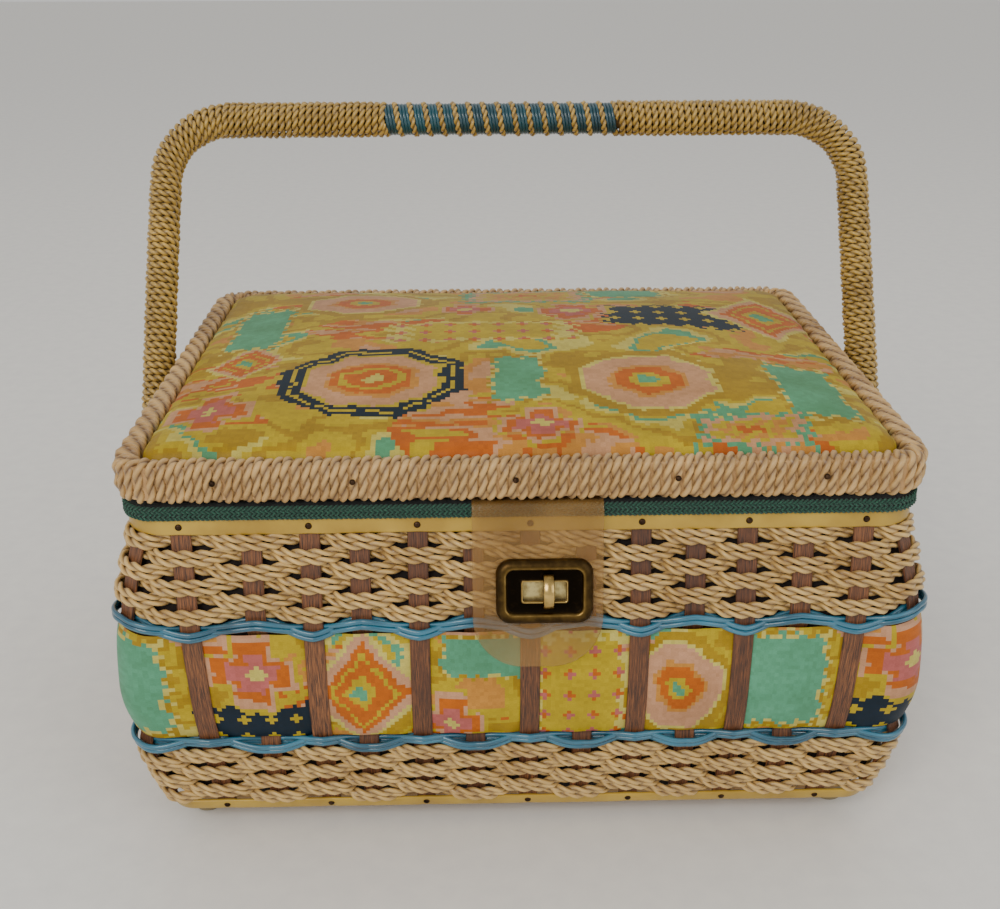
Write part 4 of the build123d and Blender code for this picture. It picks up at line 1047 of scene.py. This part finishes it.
def grip():
    """Three teal canes side by side, alternating with a tan cord."""
    canes = []
    for k, shift in enumerate((-GRIP_CANE_SHIFT, 0.0, GRIP_CANE_SHIFT)):
        path, outward = grip_helix(0.0, shift, GRIP_CANE_REACH)
        taper = np.ones(len(path))
        taper[[0, -1]] = CORD_END
        canes.append(cane(path, outward, oval(*GRIP_CANE), False, 9 * k, taper))
    build("grip_cane", joined(canes), "handle", teal_cane, ("grip_wrap_blue",))
    path, outward = grip_helix(PI, 0.0, GRIP_CORD_REACH)
    cord = twisted_cord(path, outward, GRIP_CORD, GRIP_CORD_TWIST, False, 0.4, WOUND_PLY)
    build("grip_cord", cord, "handle", handle_paper, ("grip_wrap_tan",))


grip()


# Cushion.
def rounded(half_x, half_y, radius, count):
    """Points and outward directions round a rounded rectangle, evenly by length."""
    total = 4 * (half_x + half_y - 2 * radius) + 2 * PI * radius
    x, y, nx, ny = loop(half_x, half_y, radius, np.arange(count) * total / count)
    return np.stack([x, y], axis=-1), np.stack([nx, ny], axis=-1)


# The cushion's edge, how far inwards and how high, and its crown's rise over that.
CUSHION_EDGE = [
    (0.0, 166.6), (0.0, 168.5), (0.2, 171.5), (0.7, 174.0), (1.8, 175.8), (3.6, 177.0), (6.5, 178.2)]
CUSHION_CROWN = 9.6


def cushion():
    """The padded top: drawn in along the rim, rolling up to a soft crown, with small puckers at the edge."""
    count = 420
    half_x, half_y = HALF_X - RIM_WIDTH - 0.1, HALF_Y - RIM_WIDTH - 0.1
    rows = list(CUSHION_EDGE)
    edge, level = rows[-1]
    for share in np.linspace(0.06, 1.0, 24):
        rise = CUSHION_CROWN * math.sin(PI / 2 * share) ** 0.95
        rows.append((edge + (half_y - edge) * share, level + rise))
    points = []
    for inward, height in rows:
        shrink_y = max(half_y - inward, 0.01)
        faster = 1.0 + 0.25 * max(inward - 60, 0.0) / (half_y - 60)
        shrink_x = max(half_x - inward * faster, 0.01)
        radius = min(8.0 + inward * 0.35, shrink_y * 0.98)
        ring, normal = rounded(shrink_x, shrink_y, radius, count)
        place = np.arange(count) / count
        pucker = 0.35 * np.sin(2 * PI * 96 * place) + 0.25 * np.sin(2 * PI * 61 * place + 1.0)
        near = math.exp(-((height - 175.5) / 2.2) ** 2)
        lift = 0.5 * np.sin(2 * PI * 7 * place + 0.5) * math.exp(-((inward - 16) / 16) ** 2)
        ring = ring + normal * (pucker * near * 0.5)[:, None]
        points.append(np.column_stack([ring, height + pucker * near * 0.5 + lift]))
    points = np.array(points)
    own = np.concatenate([points[:1], points])
    own[..., 2] = 0.0
    bottom = points[:1] * (0.02, 0.02, 1.0)
    mesh = (np.concatenate([bottom, points]), grid_faces(len(rows) + 1, count), own)
    piece = build("cushion", mesh, "lid", lid_print, ("lid_cushion",), kind="print")


cushion()


# Linings, and the sheet of painted shade behind the weave.
LINING_TOP = 126.0
LINING_OUT = -5.95
SHADE_SHEET_OUT = (-4.3, -4.6)
QUILT_PITCH = 34.0


def wall_cloth():
    """The gathered lining inside the walls."""
    phase = np.arange(1400) * STAKE_COUNT / 1400
    heights = np.linspace(FLOOR_TOP, LINING_TOP, 24)
    points = np.zeros((len(heights), len(phase), 3))
    for i, height in enumerate(heights):
        share = (height - heights[0]) / (heights[-1] - heights[0])
        folds = 0.45 * np.sin(phase * 2 * PI * 3 + 1.5 * np.sin(phase * 1.3)) * (0.4 + 0.6 * share)
        points[i] = wall(height, phase, LINING_OUT + folds)[0]
    mesh = (points, grid_faces(len(heights), len(phase)))
    piece = build("wall_cloth", mesh, "basket", lining, ("wall_lining",))


def wall_shade_sheet():
    """A dark sheet between the weave and the lining: painted shade that shows through the weave's gaps."""
    phase = np.arange(288) * STAKE_COUNT / 288
    heights = np.linspace(FLOOR_TOP + 0.2, 145.0, 24)
    points = [wall(height, phase, SHADE_SHEET_OUT[0])[0] for height in heights]
    points += [wall(height, phase, SHADE_SHEET_OUT[1])[0] for height in heights[::-1]]
    mesh = (np.array(points), grid_faces(len(points), len(phase), True))
    build("painted_shade_sheet", mesh, "basket", shade_sheet)


wall_cloth()
wall_shade_sheet()


def panel(name, half_x, half_y, radius, low, high, puff, body, node):
    """A quilted panel: diamond channels sewn through thin padding, closed below. puff is signed."""
    count, rings = 360, 60
    points = []
    for i in range(rings + 1):
        share = 1 - i / rings
        corner = max(min(radius, half_y * share * 0.9), 0.01)
        ring, _ = rounded(max(half_x * share, 0.02), max(half_y * share, 0.02), corner, count)
        u, v = [(ring[:, 0] + slant * ring[:, 1]) / QUILT_PITCH for slant in (1.2, -1.2)]
        quilt = (np.abs(np.sin(PI * u)) * np.abs(np.sin(PI * v))) ** 0.5
        edge = min(1.0, (1 - share) * 14)
        points.append(np.column_stack([ring, high + puff * quilt * edge]))
    base = points[0].copy()
    base[:, 2] = low
    points = np.array([base * (0.01, 0.01, 1.0), base] + points)
    piece = build(name, (points, grid_faces(len(points), count)), body, lining, (node,))


PUFF = 1.4
LID_QUILT = (163.5, 162.6)
LID_QUILT_INSET = 10.8
floor_x = HALF_X + np.interp(FLOOR_TOP, PROFILE_Z, PROFILE_OFFSET) - 6.3
floor_y = floor_x - HALF_X + HALF_Y
lid_x, lid_y = HALF_X - LID_QUILT_INSET, HALF_Y - LID_QUILT_INSET
panel("floor_quilt", floor_x, floor_y, 9.2, FLOOR_TOP, FLOOR_TOP + PUFF, PUFF, "basket", "floor_pad")
panel("lid_quilt", lid_x, lid_y, 5.5, *LID_QUILT, -PUFF, "lid", "lid_lining")

# Lock.
LOCK_OUT = np.array([0.0, -math.cos(LOCK_LEAN), math.sin(LOCK_LEAN)])
LOCK_UP = np.array([0.0, math.sin(LOCK_LEAN), math.cos(LOCK_LEAN)])
LOCK_ORIGIN = np.array([LOCK_X, LOCK_Y, LOCK_Z])
BASE_OUT = 1.05
FLAP_IN = BASE_OUT + 0.4
FLAP_OUT = FLAP_IN + 1.0
PLATE_SHIFT = -1.5


def on_lock(x, up, out):
    """Points of the lock's leaning plane in the world."""
    x, up, out = np.broadcast_arrays(np.asarray(x, float), np.asarray(up, float), np.asarray(out, float))
    return LOCK_ORIGIN + x[..., None] * (1, 0, 0) + up[..., None] * LOCK_UP + out[..., None] * LOCK_OUT


# The plate's rings from the slot out and down to its edge: width, height, corner radius, how far out, wear.
LOCK_RINGS = [
    (17.0, 8.0, 0.8, -0.1, 0.4), (17.0, 8.0, 0.8, 1.5, 0.9), (17.5, 8.5, 1.0, 1.75, 1.0),
    (18.3, 9.3, 1.2, 1.65, 0.5), (18.9, 9.9, 1.3, 1.2, 0.0), (22.0, 11.0, 1.8, 1.15, 0.05),
    (28.4, 16.4, 2.4, 1.2, 0.05), (29.2, 17.2, 2.6, 1.5, 0.3), (29.8, 17.8, 2.9, 2.3, 0.62),
    (30.8, 18.8, 3.3, 2.7, 0.72), (32.4, 20.4, 3.9, 2.85, 0.5), (34.4, 22.4, 4.6, 2.6, 0.42),
    (36.6, 24.6, 5.4, 1.9, 0.4), (37.7, 25.7, 5.8, 1.0, 0.55), (38.0, 26.0, 6.0, 0.2, 0.35),
    (37.4, 25.4, 5.7, -0.05, 0.1),
]


def lock_plate():
    """The brass plate: a raised bezel, a dark well and a lipped slot."""
    count = 160
    points, wear = [], []
    for width, height, radius, out, worn in LOCK_RINGS:
        ring, _ = rounded(width / 2, height / 2, radius, count)
        points.append(on_lock(PLATE_SHIFT + ring[:, 0], ring[:, 1], FLAP_OUT + out))
        wear.append(np.full((count, 3), worn))
    mesh = (np.array(points), grid_faces(len(points), count, True)[:, ::-1], np.array(wear))
    build("lock_plate", mesh, "strap", lock_metal, ("clasp_plate",), kind="wear")


lock_plate()


def lock_knob():
    """The arched turn knob on its hub."""
    low, arch, length = FLAP_OUT + 1.2 + 0.4, 4.4, 13.0
    chord, rise = length / 2, arch - 0.65
    radius = (chord ** 2 + rise ** 2) / (2 * rise)
    reach = math.asin(chord / radius)
    angle = np.linspace(-reach, reach, 30)
    path = on_lock(0.0, radius * np.sin(angle), low + rise - radius * (1 - np.cos(angle)))
    side = unit(on_lock(0.0, radius * np.sin(angle), radius * np.cos(angle)) - LOCK_ORIGIN)
    outline = bevelled(4.2, 1.3, 0.35)
    points = sweep(path, side, outline, False)
    wear = np.zeros(points.shape)
    wear[..., 0] = (0.62 + 0.3 * np.cos(angle * 1.2))[:, None]
    parts = [(points, grid_faces(len(path), STRIP_SIDES), wear)]
    turn = np.arange(20) * 2 * PI / 20
    hub = [on_lock(2.05 * np.cos(turn), 2.05 * np.sin(turn), low + h) for h in (0.0, 1.0, 2.0, arch - 1.3)]
    parts.append((np.array(hub), grid_faces(4, 20), np.full((4, 20, 3), 0.35)))
    build("lock_knob", joined(parts), "knob", lock_metal, ("turn_knob",), kind="wear")


lock_knob()


# Clear strap.
STRAP_WIDTH = 51.0
STRAP_SHIFT = -4.0
STRAP_REACH = 31.0
STRAP_CORNER = 20.0
STRAP_FOLD_Y = 118.6
STRAP_TAB_Y = 111.0


def strap_line():
    """The strap's middle line, in (y, z), from its tab under the rim, round the bend and down the weave."""
    middle = (FLAP_IN + FLAP_OUT) / 2
    tail = on_lock(0.0, np.linspace(20.0, -STRAP_REACH, 60), middle)[:, 1:]
    under = LID_BOTTOM - 0.5
    tab = np.column_stack([-np.linspace(STRAP_TAB_Y, STRAP_FOLD_Y - 1.0, 10), np.full(10, under)])
    start, end = tab[-1], tail[0]
    bend = [start + np.array([-2.2, -0.1]), end + np.array([0.25, 8.5])]
    share = np.linspace(0, 1, 20)[1:-1, None]
    rest = 1 - share
    curve = rest ** 3 * start + share ** 3 * end
    curve += 3 * rest * share * (rest * bend[0] + share * bend[1])
    return np.concatenate([tab, curve, tail])


def strap():
    """Soft clear vinyl with a welded border and a rounded end, open behind the lock's slot."""
    line = strap_line()
    along = lengths(line)
    ahead = unit(np.gradient(line, axis=0))
    count = 220
    outer = strap_outline(along[-1], count)
    inner = rounded(8.5, 4.0, 0.8, count)[0] + np.array([PLATE_SHIFT - STRAP_SHIFT, along[-1] - STRAP_REACH])
    middle = inner.mean(axis=0)
    heading = np.arctan2(outer[:, 1] - middle[1], outer[:, 0] - middle[0])
    order = np.argsort(heading)
    outer, heading = outer[order], heading[order]
    inner_heading = np.arctan2(inner[:, 1] - middle[1], inner[:, 0] - middle[0])
    order = np.argsort(inner_heading)
    repeated = np.concatenate([inner_heading[order] + turn for turn in (-2 * PI, 0, 2 * PI)])
    inner = np.stack([np.interp(heading, repeated, np.tile(inner[order, i], 3)) for i in (0, 1)], axis=-1)
    shares = list(np.linspace(0, 0.86, 26)) + [0.88, 0.9, 0.93, 0.96, 0.985, 1.0]
    grooves = [0.0] * 26 + [0.12, 0.28, 0.12, 0.0, 0.1, 0.35]
    sides = []
    for face in (0.5, -0.5):
        sheet = []
        for share, groove in zip(shares, grooves):
            flat = inner + (outer - inner) * share
            y, z = [np.interp(flat[:, 1], along, line[:, i]) for i in (0, 1)]
            nz, ny = [np.interp(flat[:, 1], along, ahead[:, i]) for i in (0, 1)]
            lift = face * (1 - groove)
            sheet.append(np.column_stack([LOCK_X + STRAP_SHIFT + flat[:, 0], y + ny * lift, z - nz * lift]))
        sides.append(sheet if face > 0 else sheet[::-1])
    points = np.array(sides[0] + sides[1])
    mesh = (points, grid_faces(len(points), count, True))
    piece = build("clear_strap", mesh, None, vinyl, ("clasp_flap",))
    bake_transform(piece)


def strap_outline(total, count):
    """Outline of the unrolled strap: square at its tab, rounded at its free end."""
    half, radius = STRAP_WIDTH / 2, STRAP_CORNER
    corner = np.linspace(0, PI / 2, 30)
    across, down = radius * np.cos(corner), radius * np.sin(corner)
    right = np.column_stack([half - radius + across, total - radius + down])
    left = np.column_stack([-right[::-1, 0], right[::-1, 1]])
    outline = np.concatenate([[[-half, 0.0], [half, 0.0]], right, left, [[-half, 0.0]]])
    along = lengths(outline)
    even = np.linspace(0, along[-1], count, endpoint=False)
    return np.stack([np.interp(even, along, outline[:, i]) for i in (0, 1)], axis=-1)


strap()

# CAD nodes that are shown as they are, by material.
KEPT = [
    (frame_wood, ["base_board", "top_frame", "lid_frame", "lid_board"]),
    (hinge_metal, ["hinge_lower_left", "hinge_lower_right", "hinge_upper_left", "hinge_upper_right"]),
    (hinge_metal, ["hinge_screws_lower", "hinge_screws_upper"]),
    (steel, ["hinge_pin_left", "hinge_pin_right", "pivot_spacers", "pivot_bolts", "pivot_washers"]),
    (steel, ["pivot_nuts"]),
    (rubber, ["feet"]),
    (core_wood, ["handle_core"]),
    (pale_brass, ["lock_base"]),
    (tack_metal, ["strap_tacks"]),
]
for material, names in KEPT:
    for name in names:
        nodes[name].data.materials.clear()
        nodes[name].data.materials.append(material)


# Stage.
def floor():
    """A wide pale table top."""
    f = Finish("floor", Roughness=0.6)
    grain = f.noise(f.place(), 90.0, 3.0)
    f.set("Base Color", f.ramp(grain, [(0.3, (232, 230, 225)), (0.7, (238, 236, 230))]))
    corners = np.array([[-1, -1, 0], [1, -1, 0], [1, 1, 0], [-1, 1, 0]]) * 6000.0
    build("floor", (corners, [[0, 1, 2, 3]]), None, f.material)


floor()


LIT_POINT = (0, 0, 0.12)


def lamp(name, place, size, power, colour):
    """A large soft area light, with its place and size in metres."""
    data = bpy.data.lights.new(name, "AREA")
    data.shape = "RECTANGLE"
    data.size, data.size_y = size
    data.energy = power
    data.color = colour
    made = bpy.data.objects.new(name, data)
    bpy.context.scene.collection.objects.link(made)
    made.location = place
    made.rotation_mode = "QUATERNION"
    made.rotation_quaternion = (Vector(LIT_POINT) - Vector(place)).to_track_quat("-Z", "Y")


lamp("key", (-0.8, -1.5, 1.25), (0.9, 0.9), 19.0, (1.0, 0.96, 0.9))
lamp("fill", (1.4, -1.2, 0.9), (1.2, 1.2), 8.0, (0.97, 0.98, 1.0))
lamp("top", (0.2, 0.5, 1.7), (1.4, 1.0), 3.0, (1.0, 0.98, 0.95))

world = bpy.data.worlds.new("studio")
world.use_nodes = True
colour, strength = world.node_tree.nodes["Background"].inputs[:2]
colour.default_value = (0.89, 0.88, 0.87, 1.0)
strength.default_value = 0.74
bpy.context.scene.world = world

# Camera, fitted to the photograph.
PITCH = math.radians(23.25)
YAW = math.radians(1.275)
ROLL = math.radians(0.145)
FOCAL_PX = 1207.0
IMAGE = (1000, 909)
CENTRE_ROW = 441.1
CAMERA_PLACE = (-18.25, -534.5, 363.4)
FILM_WIDTH = 36.0


def camera():
    """The photograph's viewpoint."""
    forward = Vector((math.sin(YAW) * math.cos(PITCH), math.cos(YAW) * math.cos(PITCH), -math.sin(PITCH)))
    right = Vector((math.cos(YAW), -math.sin(YAW), 0.0))
    down = forward.cross(right)
    row = right * math.cos(ROLL) + down * math.sin(ROLL)
    column = right * -math.sin(ROLL) + down * math.cos(ROLL)
    data = bpy.data.cameras.new("camera")
    data.sensor_width = FILM_WIDTH
    data.lens = FOCAL_PX * FILM_WIDTH / IMAGE[0]
    data.shift_y = (CENTRE_ROW - IMAGE[1] / 2) / IMAGE[0]
    made = bpy.data.objects.new("camera", data)
    bpy.context.scene.collection.objects.link(made)
    turn = Matrix((row, -column, -forward)).transposed().to_4x4()
    made.matrix_world = Matrix.Translation(Vector(CAMERA_PLACE) * MM) @ turn
    bpy.context.scene.camera = made


camera()
